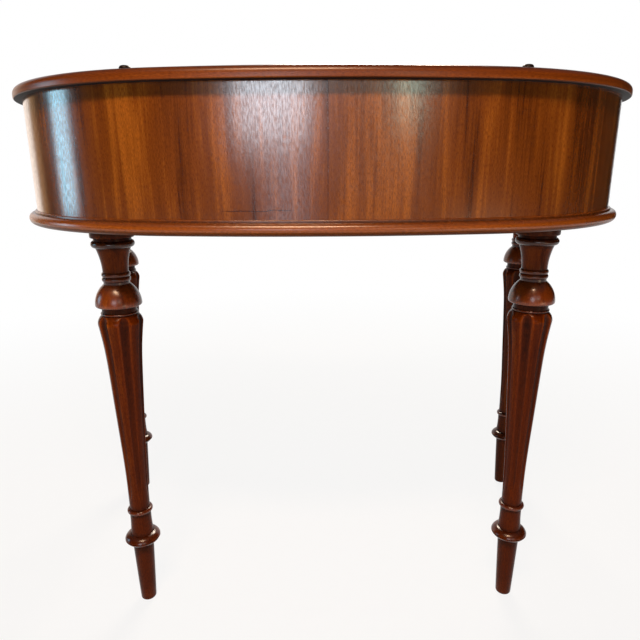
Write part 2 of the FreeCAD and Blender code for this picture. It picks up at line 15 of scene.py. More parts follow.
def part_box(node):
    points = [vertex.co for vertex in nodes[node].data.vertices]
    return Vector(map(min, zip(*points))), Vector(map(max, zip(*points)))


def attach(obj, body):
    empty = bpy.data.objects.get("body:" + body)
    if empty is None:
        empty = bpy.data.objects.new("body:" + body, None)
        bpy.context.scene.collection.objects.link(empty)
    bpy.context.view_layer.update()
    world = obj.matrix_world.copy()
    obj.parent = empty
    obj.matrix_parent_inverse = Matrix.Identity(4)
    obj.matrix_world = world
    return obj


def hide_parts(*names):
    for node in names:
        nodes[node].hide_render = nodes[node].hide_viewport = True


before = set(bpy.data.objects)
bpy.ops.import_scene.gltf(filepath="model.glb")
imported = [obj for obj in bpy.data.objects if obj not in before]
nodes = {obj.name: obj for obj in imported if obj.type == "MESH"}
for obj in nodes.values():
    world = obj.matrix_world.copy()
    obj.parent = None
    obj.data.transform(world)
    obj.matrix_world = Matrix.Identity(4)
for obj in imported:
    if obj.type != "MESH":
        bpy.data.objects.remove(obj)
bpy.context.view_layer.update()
scene = bpy.context.scene
scene.view_settings.view_transform = "Standard"
MM = 0.001

# %% [markdown]
# ## Camera
# The photographer stood close, with the lens a little below the middle of the frieze and
# tilted down. The place and the three angles were fitted to the curved edges of the top
# and base, so the camera is written as those numbers and turned into a matrix here.

# %% Camera
CAMERA_PLACE = Vector((-18.1, -893.6, 659.1)) * MM
CAMERA_YAW = math.radians(-0.74)
CAMERA_PITCH = math.radians(15.44)
CAMERA_ROLL = math.radians(-0.29)
PHOTO_SIDE = 640
FOCAL_PIXELS = 558.0
NEAR_CLIP = 0.01


def camera_matrix():
    """The camera's place and turn, from its yaw, pitch and roll."""
    side = Vector((math.cos(CAMERA_YAW), math.sin(CAMERA_YAW), 0))
    ahead = Vector((-math.sin(CAMERA_YAW), math.cos(CAMERA_YAW), 0))
    lift = Vector((0, 0, 1))
    look = ahead * math.cos(CAMERA_PITCH) - lift * math.sin(CAMERA_PITCH)
    top = ahead * math.sin(CAMERA_PITCH) + lift * math.cos(CAMERA_PITCH)
    right = side * math.cos(CAMERA_ROLL) + top * math.sin(CAMERA_ROLL)
    up = top * math.cos(CAMERA_ROLL) - side * math.sin(CAMERA_ROLL)
    turn = Matrix((right, up, -look)).transposed().to_4x4()
    return Matrix.Translation(CAMERA_PLACE) @ turn


lens = bpy.data.cameras.new("camera")
lens.lens = lens.sensor_width * FOCAL_PIXELS / PHOTO_SIDE
lens.clip_start = NEAR_CLIP
camera = bpy.data.objects.new("camera", lens)
camera.matrix_world = camera_matrix()
scene.collection.objects.link(camera)
scene.camera = camera
print("lens %.2f mm" % lens.lens)

# %% [markdown]
# ## Plan outline
# Everything round the desk follows one outline: five arcs that run into each other, from the
# middle of the bowed back, round an end, to the middle of the knee. One half is walked arc by
# arc and mirrored. Each sample keeps its outward normal, so an edge can be moved in by any
# inset, and its distance along the edge, which the grain of the wood follows.

# %% Plan outline
BACK_RADIUS, SHOULDER_RADIUS, SIDE_RADIUS, NOSE_RADIUS = 1.237, 0.312, 0.520, 0.130
BACK_END, SHOULDER_END, SIDE_END, NOSE_END, KNEE_END = (
    math.radians(angle) for angle in (8.85, 78.0, 95.0, 210.0, 180.0))
SAMPLE_STEP = 3.5 * MM


def half_outline():
    """Points, outward normals and distances of the right half, from the back to the knee."""
    turns = [(BACK_RADIUS, BACK_END), (SHOULDER_RADIUS, SHOULDER_END),
             (SIDE_RADIUS, SIDE_END), (NOSE_RADIUS, NOSE_END), (None, KNEE_END)]
    place, heading, walked = np.zeros(2), 0.0, 0.0
    rows = [(0.0, 0.0, 0.0, -1.0, 0.0)]
    for radius, end in turns:
        if radius is None:
            radius = place[0] / math.sin(heading)
        centre = place + radius * np.array((-math.sin(heading), math.cos(heading)))
        length = abs(radius * (end - heading))
        count = math.ceil(length / SAMPLE_STEP)
        for index in range(1, count + 1):
            angle = heading + (end - heading) * index / count
            normal = np.array((math.sin(angle), -math.cos(angle)))
            point = centre + radius * normal
            rows.append((*point, *normal, walked + length * index / count))
        place, heading, walked = point, end, walked + length
    return np.array(rows)


def whole_outline():
    """The closed outline from the knee, round the left end, the back and the right end."""
    right = half_outline()
    right[:, 1] -= right[:, 1].max() / 2
    left = right[::-1] * np.array((-1, 1, -1, 1, -1))
    return np.vstack((left[:-1], right))


OUTLINE = whole_outline()
EDGE, NORMAL, ALONG = OUTLINE[:, 0:2], OUTLINE[:, 2:4], OUTLINE[:, 4]
print("outline samples", len(OUTLINE), "length %.3f m" % (ALONG[-1] - ALONG[0]))

# %% [markdown]
# ## Mesh pieces
# Nearly every piece here is a grid of points, made in Python and handed to Blender as one mesh.
# Each face corner gets a UV in metres, so that grain can be drawn at its true size. The mesh is
# shaded smooth, except where faces meet at a sharp angle.

# %% Mesh pieces
SHARP_ANGLE = math.radians(38)


def mesh_piece(name, points, faces, uvs, body, swaps=(), marks=None):
    """A smooth mesh object that rides on a body and stands for the CAD nodes it swaps."""
    mesh = bpy.data.meshes.new(name)
    mesh.from_pydata([tuple(point) for point in points], [], faces)
    layer = mesh.uv_layers.new(name="UVMap")
    for corner, uv in zip(layer.data, uvs):
        corner.uv = uv
    for label, values in (marks or {}).items():
        layer = mesh.attributes.new(label, "FLOAT", "POINT")
        layer.data.foreach_set("value", np.asarray(values, np.float32))
    mesh.shade_smooth()
    mesh.set_sharp_from_angle(angle=SHARP_ANGLE)
    piece = bpy.data.objects.new(name, mesh)
    scene.collection.objects.link(piece)
    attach(piece, body)
    if swaps:
        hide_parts(*swaps)
    print("%-24s %6d points" % (name, len(points)))
    return piece


def grid_faces(columns, rows, wrap_columns, wrap_rows=False):
    """Quads of a grid of columns by rows, with the column and row of each corner."""
    faces, corners = [], []
    row_count = rows if wrap_rows else rows - 1
    column_count = columns if wrap_columns else columns - 1
    for column in range(column_count):
        first, after = column * rows, (column + 1) % columns * rows
        for row in range(row_count):
            above = (row + 1) % rows
            faces.append((first + row, first + above, after + above, after + row))
            corners += [(column, row), (column, row + 1), (column + 1, row + 1), (column + 1, row)]
    return faces, corners


# %% [markdown]
# ## Hollows and edges
# Old furniture is dark where polish and dust gather and pale where hands and dusters rub. The
# same marks also paint shade into hollows and highlights onto edges. So a piece carries two
# numbers per point: how deep it sits in a hollow of its profile, and how far it stands out on an
# edge. They are worked out from the profile, and the finishes read them as attributes.

# %% Hollows and edges
MARK_REACH = 6.0 * MM
FULL_SHARE, SPREAD_SHARE, HOLLOW_GUARD = 0.25, 0.4, 2


def hollow_and_edge(profile, reach):
    """For each point of a profile of (outwards, z): how hollow it lies and how proud it stands."""
    profile = np.asarray(profile, float)
    gaps = np.linalg.norm(profile[:, None, :] - profile[None, :, :], axis=2)
    weight = np.clip(1 - gaps / reach, 0, None)
    rise = profile[None, :, 0] - profile[:, None, 0]
    full = FULL_SHARE * reach
    hollow = np.clip((weight * np.clip(rise, 0, None)).max(axis=1) / full, 0, 1)
    proud = (weight * np.clip(-rise, 0, None)).max(axis=1) / full
    near = np.clip(1 - gaps / (SPREAD_SHARE * reach), 0, None)
    return (hollow[None, :] * near).max(axis=1), np.clip(proud - HOLLOW_GUARD * hollow, 0, 1)


print("marks reach %.0f mm" % (MARK_REACH / MM))

# %% [markdown]
# ## Bands and rounds
# A moulding is one profile run along an edge, as a plane or a cutter would make it. `band` does
# the same: it runs a list of insets and heights along the outline. Its UV runs along the edge
# and round the profile. The flat faces that close a band have their UV moved well away, so that
# lines drawn near the edge do not show up on them.

# %% Bands and rounds
CAP_SHIFT = 10.0


def travel(profile):
    """Distance walked along a profile, at each of its points and once more at its start."""
    loop = np.vstack((profile, profile[:1]))
    return np.concatenate(([0.0], np.cumsum(np.linalg.norm(np.diff(loop, axis=0), axis=1))))


def band(name, profile, body, swaps=(), keep=None, capped=False):
    """Run a profile of (inset, z) round the outline, or along the samples kept.

    The profile closes on itself, or, if capped, its two ends are filled by flat faces.
    """
    profile = np.array(list(profile))
    rows = len(profile)
    whole = keep is None
    chosen = np.arange(len(EDGE)) if whole else np.flatnonzero(keep)
    used = chosen[:-1] if whole else chosen
    points = []
    for index in used:
        flat = EDGE[index] - NORMAL[index] * profile[:, :1]
        points += list(np.column_stack((flat, profile[:, 1])))
    faces, corners = grid_faces(len(used), rows, whole, not capped)
    walked = travel(profile)
    uvs = [(ALONG[chosen[column]], walked[row]) for column, row in corners]
    ends = []
    if capped:
        ends.append([column * rows for column in range(len(used))])
        ends.append([column * rows + rows - 1 for column in reversed(range(len(used)))])
    elif not whole:
        ends.append(list(reversed(range(rows))))
        ends.append([(len(used) - 1) * rows + row for row in range(rows)])
    for end in ends:
        faces.append(tuple(end))
        uvs += [(points[index][0], points[index][1] + CAP_SHIFT) for index in end]
    # Hollows get a darker share, for dirt and painted shade, and edges a paler one, for wear and painted
    # highlight.
    hollow, proud = hollow_and_edge(profile * (-1, 1), MARK_REACH)
    marks = {"hollow": np.tile(hollow, len(used)), "proud": np.tile(proud, len(used))}
    return mesh_piece(name, points, faces, uvs, body, swaps, marks)


def arc_points(start, middle, end, count):
    """Points on the circle through three points of a profile, start and end included."""
    a, b, c = (np.array(point, float) for point in (start, middle, end))
    system = 2 * np.array((b - a, c - a))
    centre = np.linalg.solve(system, np.array((b @ b - a @ a, c @ c - a @ a)))
    radius = np.linalg.norm(a - centre)
    angles = [math.atan2(*(point - centre)[::-1]) for point in (a, b, c)]
    turn = (angles[2] - angles[0]) % math.tau
    if (angles[1] - angles[0]) % math.tau > turn:
        turn -= math.tau
    steps = angles[0] + turn * np.linspace(0, 1, count)
    return [tuple(centre + radius * np.array((math.cos(step), math.sin(step)))) for step in steps]


def rounded(corner_in, corner_out, count, share=math.sin(math.pi / 4)):
    """A round from a point that runs level to one that runs upright."""
    (x0, z0), (x1, z1) = corner_in, corner_out
    return arc_points(corner_in, (x0 + (x1 - x0) * share, z1 + (z0 - z1) * share), corner_out, count)


print("bands follow", len(EDGE) - 1, "samples of the outline")

# %% [markdown]
# ## Top
# The top is one board, 14 mm thick, with a large round on its upper edge and a small one
# below. A panel of leather lies in it, flush. The board's profile starts at the leather's
# rebate, runs out over the rounds and comes back in underneath, and two flat faces close it.

# %% Top
TOP_LOW, TOP_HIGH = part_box("top_board")[0].z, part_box("top_board")[1].z
TOP_ROUND, TOP_UNDER_ROUND = 8.0 * MM, 2.0 * MM
LEATHER_BORDER, LEATHER_DEPTH, REBATE_EASE = 42.0 * MM, 1.6 * MM, 0.4 * MM
ROUND_STEPS, EASE_STEPS = 11, 5


def top_profile():
    """Insets and heights from the leather's rebate, out over the edge and back under."""
    points = [(LEATHER_BORDER, TOP_HIGH - LEATHER_DEPTH), (LEATHER_BORDER, TOP_HIGH - REBATE_EASE)]
    points += [(LEATHER_BORDER - REBATE_EASE, TOP_HIGH)]
    points += [(TOP_ROUND * 2, TOP_HIGH)]
    points += rounded((TOP_ROUND, TOP_HIGH), (0.0, TOP_HIGH - TOP_ROUND), ROUND_STEPS)
    under = rounded((TOP_UNDER_ROUND, TOP_LOW), (0.0, TOP_LOW + TOP_UNDER_ROUND), ROUND_STEPS)
    points += reversed(under)
    points += [(TOP_ROUND * 2, TOP_LOW)]
    return points


top = band("top", top_profile(), "desk", ("top_board",), capped=True)

# %% [markdown]
# ## Leather panel
# The leather is a thin sheet glued into a shallow rebate. Its edge turns down a little, which
# gives the dark line all round it. The profile runs inwards over the strip that is tooled, and
# a flat face fills the rest.

# %% Leather panel
LEATHER_EASE = 0.5 * MM
TOOLING_REACH = 30.0 * MM


def leather_profile():
    """The panel's edge, turned down a little, and the flat that the tooling runs along."""
    low = TOP_HIGH - LEATHER_DEPTH
    outer = LEATHER_BORDER + LEATHER_EASE / 2
    points = [(outer, low)]
    turned = rounded((outer + LEATHER_EASE, TOP_HIGH), (outer, TOP_HIGH - LEATHER_EASE), EASE_STEPS)
    points += reversed(turned)
    return points + [(LEATHER_BORDER + TOOLING_REACH * share, TOP_HIGH) for share in (1, 2)]


leather = band("leather_panel", leather_profile(), "desk", ("leather_inset",), capped=True)

# %% [markdown]
# ## Frieze
# The bowed wall under the top is faced with two leaves of ribbon-stripe veneer that meet at
# the middle of the back. Each leaf is a thin skin along part of the outline, so the joint is a
# real one and the grain can differ from leaf to leaf.

# %% Frieze veneer
FRIEZE_LOW, FRIEZE_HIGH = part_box("veneer_right")[0].z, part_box("veneer_right")[1].z
FRIEZE_INSET, VENEER_DEPTH = 11.5 * MM, 1.0 * MM
STILE_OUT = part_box("stile_right")[1].x


def veneer_profile():
    """The four corners of a leaf's section."""
    inner = FRIEZE_INSET + VENEER_DEPTH
    outer = [(FRIEZE_INSET, FRIEZE_LOW), (FRIEZE_INSET, FRIEZE_HIGH)]
    return outer + [(inner, FRIEZE_HIGH), (inner, FRIEZE_LOW)]


def leaf_samples(hand):
    """The samples of one leaf: from the middle of the back to the stile beside the drawers."""
    side = EDGE[:, 0] * hand
    face = side - NORMAL[:, 0] * hand * FRIEZE_INSET
    front = (EDGE[:, 1] > 0) & (face < STILE_OUT)
    return (side > -SAMPLE_STEP / 10) & ~front


leaves = []
for hand, side in ((1, "right"), (-1, "left")):
    leaves.append(band("frieze_leaf_" + side, veneer_profile(), "desk",
                       ("veneer_" + side,), keep=leaf_samples(hand)))

# %% [markdown]
# ## Base moulding
# Under the frieze runs a half-round moulding with a thin bead above it. It is the edge of
# the board that the drawers run on, so one band makes the moulding and the board's two faces.

# %% Base moulding
BASE_LOW, BASE_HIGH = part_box("base_board")[0].z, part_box("base_board")[1].z
BEAD_HEIGHT, BEAD_PROUD, BEAD_ROUND, TORUS_FLAT = 3.0 * MM, 3.0 * MM, 1.2 * MM, 0.4 * MM


def base_profile():
    """Insets and heights over the bead, round the torus and back under."""
    bead_low = BASE_HIGH - BEAD_HEIGHT
    bead_out = FRIEZE_INSET - BEAD_PROUD
    torus_round = (bead_low - BASE_LOW - TORUS_FLAT) / 2
    points = [(FRIEZE_INSET * 2, BASE_HIGH)]
    points += rounded((bead_out + BEAD_ROUND, BASE_HIGH), (bead_out, BASE_HIGH - BEAD_ROUND), EASE_STEPS)
    points += [(bead_out, bead_low)]
    points += rounded((torus_round, bead_low), (0.0, bead_low - torus_round), ROUND_STEPS)
    points += reversed(rounded((torus_round, BASE_LOW), (0.0, BASE_LOW + torus_round), ROUND_STEPS))
    points += [(FRIEZE_INSET * 2, BASE_LOW)]
    return points


base = band("base_moulding", base_profile(), "desk", ("base_board",), capped=True)

# %% [markdown]
# ## Leg turning
# Each leg is turned from one piece: a plain foot, a double ring, a waist and a bead, then a
# tapered shaft with six flutes, a collar, a dome, two neck beads, a hollow neck, a torus and
# a disc. A turner would mark these members along the blank, and so does this profile: each is
# an arc between two radii, in millimetres, stacked from the floor up. The shaft swells along a
# spline, because a straight taper looks thin beside the real one.

# %% Leg turning
FOOT_TIP, FOOT_ROUND, FOOT_TOP, FOOT_HEIGHT = 11.5, 3.0, 15.4, 103.0
FOOT_SHARES = (0.3, 0.6, 0.9)
RING, RING_LOW, RING_GROOVE, RING_GROOVE_DEPTH, RING_HIGH = 25.8, 7.0, 2.0, 2.0, 7.5
ANKLE_LOW, ANKLE, ANKLE_HEIGHT, BEAD, BEAD_TALL = 16.8, 15.4, 36.0, 18.5, 7.0
SHAFT_FOOT, SHAFT_TOP, SHOULDER_HEIGHT = 14.6, 29.8, 12.5
COLLAR, COLLAR_BEAD, COLLAR_BEAD_HEIGHT, COLLAR_HEIGHT = 23.0, 24.8, 3.4, 7.9
DOME, DOME_LIP, DOME_HEIGHT, THROAT, THROAT_HEIGHT = 30.6, 2.6, 30.7, 17.0, 3.0
NECK_BEAD, NECK_BEAD_HEIGHT, NECK, NECK_TOP, NECK_HEIGHT = 18.7, 6.5, 16.7, 22.8, 33.0
TORUS, TORUS_HEIGHT, GROOVE, GROOVE_HEIGHT = 28.0, 9.5, 24.2, 3.5
DISC, DISC_ROUND, DISC_HEIGHT, TENON = 28.4, 2.0, 12.1, 14.0
SOFT_SHARE = 0.64
SHAFT_SHARES = ((0.0, 0.0), (0.2, 0.045), (0.47, 0.27), (0.75, 0.535), (0.89, 0.725), (1.0, 1.0))
SHAFT_ROWS, SHAFT_CROWDING = 64, 1.1
LEG_HEIGHT = (BASE_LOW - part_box("leg_back_right")[0].z) / MM
TENON_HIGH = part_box("leg_back_right")[1].z / MM


def swell(start, end, radius, count=9):
    """A bead between two places on the turning, out to a radius half-way."""
    return arc_points(start, (radius, (start[1] + end[1]) / 2), end, count)


def spline_through(shares, wanted):
    """A natural cubic spline through pairs of shares, read at the wanted places."""
    x, y = np.array(shares).T
    gaps = np.diff(x)
    count = len(x)
    matrix, right = np.eye(count), np.zeros(count)
    for index in range(1, count - 1):
        before, after = gaps[index - 1], gaps[index]
        matrix[index, index - 1:index + 2] = before, 2 * (before + after), after
        right[index] = 6 * ((y[index + 1] - y[index]) / after - (y[index] - y[index - 1]) / before)
    bend = np.linalg.solve(matrix, right)
    place = np.clip(np.searchsorted(x, wanted) - 1, 0, count - 2)
    a, b, gap = x[place + 1] - wanted, wanted - x[place], gaps[place]
    low, high = bend[place], bend[place + 1]
    curve = (low * a ** 3 + high * b ** 3) / (6 * gap)
    return curve + (y[place] / gap - low * gap / 6) * a + (y[place + 1] / gap - high * gap / 6) * b


def lower_leg():
    """The foot, the double ring, the waist and the bead; each arc ends with its count of points."""
    z = FOOT_HEIGHT
    points = [(0.0, 0.0)] + rounded((FOOT_TIP - FOOT_ROUND, 0.0), (FOOT_TIP, FOOT_ROUND), 5)
    points += [(FOOT_TIP + (FOOT_TOP - FOOT_TIP) * share, z * share) for share in FOOT_SHARES]
    points += rounded((FOOT_TOP, z), (RING, z + RING_LOW), 9, SOFT_SHARE)
    z += RING_LOW
    points += [(RING - RING_GROOVE_DEPTH, z + RING_GROOVE / 2)]
    z += RING_GROOVE
    points += reversed(rounded((ANKLE_LOW, z + RING_HIGH), (RING, z), 9, SOFT_SHARE))
    z += RING_HIGH
    waist = (ANKLE, z + ANKLE_HEIGHT)
    points += arc_points((ANKLE_LOW, z), (ANKLE, z + ANKLE_HEIGHT / 2), waist, 8)[1:]
    points += swell(waist, (SHAFT_FOOT, waist[1] + BEAD_TALL), BEAD, 11)[1:]
    return points


def upper_leg(shoulder):
    """From the shaft's shoulder over the collar, dome, neck and torus to the disc and tenon."""
    z = shoulder + SHOULDER_HEIGHT
    points = list(reversed(rounded((COLLAR, z), (SHAFT_TOP, shoulder), 25, SOFT_SHARE)))[1:]
    points += swell((COLLAR, z), (COLLAR, z + COLLAR_BEAD_HEIGHT), COLLAR_BEAD, 7)[1:]
    z += COLLAR_BEAD_HEIGHT + COLLAR_HEIGHT
    points += [(COLLAR, z)] + rounded((DOME - DOME_LIP, z), (DOME, z + DOME_LIP), 6)
    points += list(reversed(rounded((THROAT, z + DOME_HEIGHT), (DOME, z + DOME_LIP), 14, SOFT_SHARE)))[1:]
    z += DOME_HEIGHT + THROAT_HEIGHT
    for top_radius in (THROAT, NECK):
        points += swell((THROAT, z), (top_radius, z + NECK_BEAD_HEIGHT), NECK_BEAD, 8)
        z += NECK_BEAD_HEIGHT
    flare = NECK_TOP - NECK
    bend = (NECK_HEIGHT ** 2 + flare ** 2) / (2 * flare)
    hollow = NECK + bend - math.sqrt(bend ** 2 - (NECK_HEIGHT / 2) ** 2)
    points += arc_points((NECK, z), (hollow, z + NECK_HEIGHT / 2), (NECK_TOP, z + NECK_HEIGHT), 12)[1:]
    z += NECK_HEIGHT
    points += swell((NECK_TOP, z), (GROOVE, z + TORUS_HEIGHT), TORUS, 11)[1:]
    z += TORUS_HEIGHT + GROOVE_HEIGHT
    points += [(GROOVE, z)] + rounded((DISC - DISC_ROUND, z), (DISC, z + DISC_ROUND), 5)
    return points + [(DISC, LEG_HEIGHT), (TENON, LEG_HEIGHT), (TENON, TENON_HIGH), (0.0, TENON_HIGH)]


def leg_profile():
    """Radius and height of the turning, in millimetres, and the stretch that is the shaft."""
    points = lower_leg()
    shaft_low = len(points) - 1
    z = points[-1][1]
    above = (SHOULDER_HEIGHT + COLLAR_BEAD_HEIGHT + COLLAR_HEIGHT + DOME_HEIGHT + THROAT_HEIGHT
             + 2 * NECK_BEAD_HEIGHT + NECK_HEIGHT + TORUS_HEIGHT + GROOVE_HEIGHT + DISC_HEIGHT)
    shoulder = LEG_HEIGHT - above
    shares = np.sin(np.linspace(0, 1, SHAFT_ROWS + 1) * math.pi / 2) ** SHAFT_CROWDING
    wide = spline_through(SHAFT_SHARES, shares)
    points += [(SHAFT_FOOT + (SHAFT_TOP - SHAFT_FOOT) * w, z + (shoulder - z) * share)
               for w, share in zip(wide, shares)][1:]
    shaft_high = len(points) - 1
    return np.array(points + upper_leg(shoulder)), shaft_low, shaft_high


LEG_PROFILE, SHAFT_LOW, SHAFT_HIGH = leg_profile()
print("leg profile points", len(LEG_PROFILE), "shaft from %.1f to %.1f mm" % (
    LEG_PROFILE[SHAFT_LOW][1], LEG_PROFILE[SHAFT_HIGH][1]))

# %% [markdown]
# ## Leg flutes
# The flutes are cut as a round-nosed cutter would cut them. It sinks in above the shaft's foot
# and runs straight on into the shoulder, which leaves the arched heads. At each height the
# cutter's circle gives the depth. Two columns of points follow its edges, so the arrises stay
# clean all the way up, which a cut by a Boolean modifier would not promise.

# %% Leg flutes
FLUTE_COUNT, FLUTE_FADE, FLUTE_FULL = 6, 0.045, 0.17
FLUTE_SIZE_SHARE, FLUTE_CENTRE_SHARE = 0.30, 1.135
LAND_COLUMNS, FLUTE_COLUMNS = 6, 13
ARRIS_TURN = math.radians(0.9)
PLAIN_HALF = math.radians(14.5)
LEAST_HALF = math.radians(2.5)


def flute_cut(row):
    """The cutter's distance, radius and half angle at one row, or None where nothing is cut."""
    low, high = LEG_PROFILE[SHAFT_LOW][1], LEG_PROFILE[SHAFT_HIGH][1]
    radius, z = LEG_PROFILE[row]
    share = (z - low) / (high - low)
    if row <= SHAFT_LOW or z > high + SHOULDER_HEIGHT or share <= FLUTE_FADE:
        return None
    wide = radius if row < SHAFT_HIGH else SHAFT_TOP
    sunk = min(1.0, (share - FLUTE_FADE) / (FLUTE_FULL - FLUTE_FADE))
    sunk = sunk * sunk * (3 - 2 * sunk)
    size = wide * FLUTE_SIZE_SHARE
    centre = wide + size + (wide * FLUTE_CENTRE_SHARE - wide - size) * sunk
    if centre - size >= radius:
        return None
    cosine = (centre ** 2 + radius ** 2 - size ** 2) / (2 * centre * radius)
    return centre, size, math.acos(min(1.0, cosine))


def sector(row):
    """Angles from a flute's middle, and radii, of one sixth of a row."""
    radius = LEG_PROFILE[row][0]
    cut = flute_cut(row)
    half = max(cut[2], LEAST_HALF) if cut else PLAIN_HALF
    hollow = np.linspace(-1, 1, FLUTE_COLUMNS) * (half - ARRIS_TURN)
    land = np.linspace(half + ARRIS_TURN, math.tau / FLUTE_COUNT - half - ARRIS_TURN, LAND_COLUMNS)
    radii = np.full(FLUTE_COLUMNS, radius)
    if cut:
        centre, size, edge = cut
        inside = np.abs(hollow) < edge
        depth = size ** 2 - (centre * np.sin(hollow)) ** 2
        ground = centre * np.cos(hollow) - np.sqrt(np.clip(depth, 0, None))
        radii = np.where(inside, np.minimum(ground, radius), radius)
    return np.concatenate((hollow, land)), np.concatenate((radii, np.full(LAND_COLUMNS, radius)))


LEG_COLUMNS = FLUTE_COUNT * (FLUTE_COLUMNS + LAND_COLUMNS)
print("columns round a leg", LEG_COLUMNS)

# %% [markdown]
# ## Leg meshes
# Each leg is a grid: columns run round it, rows run up it, and a point closes each end. Its
# marks darken and pale it. The feet and the members under the board are darkened as painted
# shade, and the flutes as painted shade with old polish and dirt. The arrises are paled as a
# painted highlight with some wear, most of all near the shoulder. Rings and the dome's lip are
# paled less.

# %% Leg meshes
LEG_TURN = 27.0
LEG_MARK_REACH, FLUTE_DARK_DEPTH = 8.0, 4.5
SHADED_FOOT_HEIGHT, SHADED_FOOT_SHARE, DISC_SHADE_SHARE, RING_WEAR_AND_HIGHLIGHT, LIP_WEAR_AND_HIGHLIGHT = 200.0, 0.45, 1.0, 0.5, 0.3
# Flute darkening and arris paling: painted shade and painted highlight, with some dirt and wear.
FLUTE_LEAST, ARRIS_LEAST, ARRIS_FADE = 0.45, 0.22, 6
ARRIS_COLUMNS = np.zeros(FLUTE_COLUMNS + LAND_COLUMNS)
ARRIS_COLUMNS[[0, FLUTE_COLUMNS - 1, FLUTE_COLUMNS, -1]] = 1.0
NECK_TOP_Z = LEG_HEIGHT - DISC_HEIGHT - GROOVE_HEIGHT - TORUS_HEIGHT
SHOULDER_TOP_Z = LEG_PROFILE[SHAFT_HIGH][1] + SHOULDER_HEIGHT
DOME_LOW_Z = SHOULDER_TOP_Z + COLLAR_BEAD_HEIGHT + COLLAR_HEIGHT


def turning_marks():
    """How hollow and how proud each row is, before the flutes, and its share up the shaft."""
    hollow, proud = hollow_and_edge(LEG_PROFILE, LEG_MARK_REACH)
    heights = LEG_PROFILE[:, 1]
    low, high = heights[SHAFT_LOW], heights[SHAFT_HIGH]
    # Painted shade: the feet darken towards the floor.
    hollow = np.maximum(hollow, SHADED_FOOT_SHARE * np.clip(1 - heights / SHADED_FOOT_HEIGHT, 0, 1))
    # Painted shade: the torus and disc under the board are darkened.
    hollow = np.maximum(hollow, DISC_SHADE_SHARE * (heights > NECK_TOP_Z))
    # Rings and the dome's lip get less of the paling, which is wear and painted highlight.
    proud = np.where(heights < low, RING_WEAR_AND_HIGHLIGHT * proud, proud)
    proud = np.where(np.abs(heights - DOME_LOW_Z) < 2 * DOME_LIP, LIP_WEAR_AND_HIGHLIGHT * proud, proud)
    return hollow, proud, np.clip((heights - low) / (high - low), 0, 1)


def leg_mesh(name, place, hand, node):
    """One leg about its own axis, with its flutes turned to mirror those of the other side."""
    hollow, proud, shaft = turning_marks()
    hollow, proud = np.tile(hollow, (LEG_COLUMNS, 1)), np.tile(proud, (LEG_COLUMNS, 1))
    start = math.radians(-90 - LEG_TURN * hand)
    sectors = np.arange(FLUTE_COUNT) * math.tau / FLUTE_COUNT
    grid = np.zeros((LEG_COLUMNS, len(LEG_PROFILE), 3))
    for row, (radius, z) in enumerate(LEG_PROFILE):
        angles, radii = sector(row)
        turns = start + np.add.outer(sectors, angles).ravel()
        radii = np.tile(radii, FLUTE_COUNT)
        if flute_cut(row):
            # Flutes darken with depth, less so low down: old polish and dirt, and painted shade. Arrises are
            # paled, most near the top: a painted highlight, with some wear.
            sunk = np.clip((radius - radii) / FLUTE_DARK_DEPTH, 0, 1)
            sunk *= FLUTE_LEAST + (1 - FLUTE_LEAST) * shaft[row]
            edge = np.tile(ARRIS_COLUMNS, FLUTE_COUNT)
            edge *= ARRIS_LEAST + (1 - ARRIS_LEAST) * shaft[row] ** ARRIS_FADE
            hollow[:, row] = np.maximum(hollow[:, row], sunk)
            proud[:, row] = np.maximum(proud[:, row], edge)
        grid[:, row, 0] = place[0] + radii * np.cos(turns) * MM
        grid[:, row, 1] = place[1] + radii * np.sin(turns) * MM
        grid[:, row, 2] = z * MM
    inner = grid[:, 1:-1].reshape(-1, 3)
    rows = len(LEG_PROFILE) - 2
    faces = [tuple(reversed(face)) for face in grid_faces(LEG_COLUMNS, rows, True)[0]]
    foot, head = len(inner), len(inner) + 1
    points = np.vstack((inner, (*place, 0.0), (*place, TENON_HIGH * MM)))
    for column in range(LEG_COLUMNS):
        first, after = column * rows, (column + 1) % LEG_COLUMNS * rows
        faces.append((first, foot, after))
        faces.append((after + rows - 1, head, first + rows - 1))
    uvs = [(0.0, 0.0)] * sum(len(face) for face in faces)
    marks = {label: np.append(values[:, 1:-1].ravel(), (0, 0))
             for label, values in (("hollow", hollow), ("proud", proud))}
    return mesh_piece(name, points, faces, uvs, "desk", (node,), marks)


legs = []
for place_name in ("back_right", "back_left", "front_right", "front_left"):
    low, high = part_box("leg_" + place_name)
    axis = ((low.x + high.x) / 2, (low.y + high.y) / 2)
    hand = math.copysign(1, axis[0])
    legs.append(leg_mesh("turned_leg_" + place_name, axis, hand, "leg_" + place_name))

# %% [markdown]
# ## Node helpers
# A finish is a tree of small nodes. These helpers add a node, feed its sockets with values or
# with other sockets, and give back the socket that carries the result, so that each finish
# below reads as a few lines of sums.

# %% Node helpers
SOCKET_KINDS = {"colour": "NodeSocketColor", "value": "NodeSocketFloat", "vector": "NodeSocketVector"}


def feed(tree, socket, source):
    """Link a socket to another, or set it to a plain value."""
    if isinstance(source, bpy.types.NodeSocket):
        tree.links.new(source, socket)
    else:
        socket.default_value = source


def add(tree, kind, feeds=None, **settings):
    """Add a node, set its options and feed its inputs by name or index."""
    made = tree.nodes.new(kind)
    for key, value in settings.items():
        setattr(made, key, value)
    for key, source in (feeds or {}).items():
        feed(tree, made.inputs[key], source)
    return made


def sums(tree, operation, first, second=0.0, clamp=False):
    made = add(tree, "ShaderNodeMath", {0: first, 1: second}, operation=operation, use_clamp=clamp)
    return made.outputs[0]


def plus(tree, first, second, clamp=False):
    return sums(tree, "ADD", first, second, clamp)


def times(tree, first, second, clamp=False):
    return sums(tree, "MULTIPLY", first, second, clamp)


def centred(tree, value, weight):
    """A noise moved to lie about zero, times a weight."""
    return times(tree, sums(tree, "SUBTRACT", value, 0.5), weight)


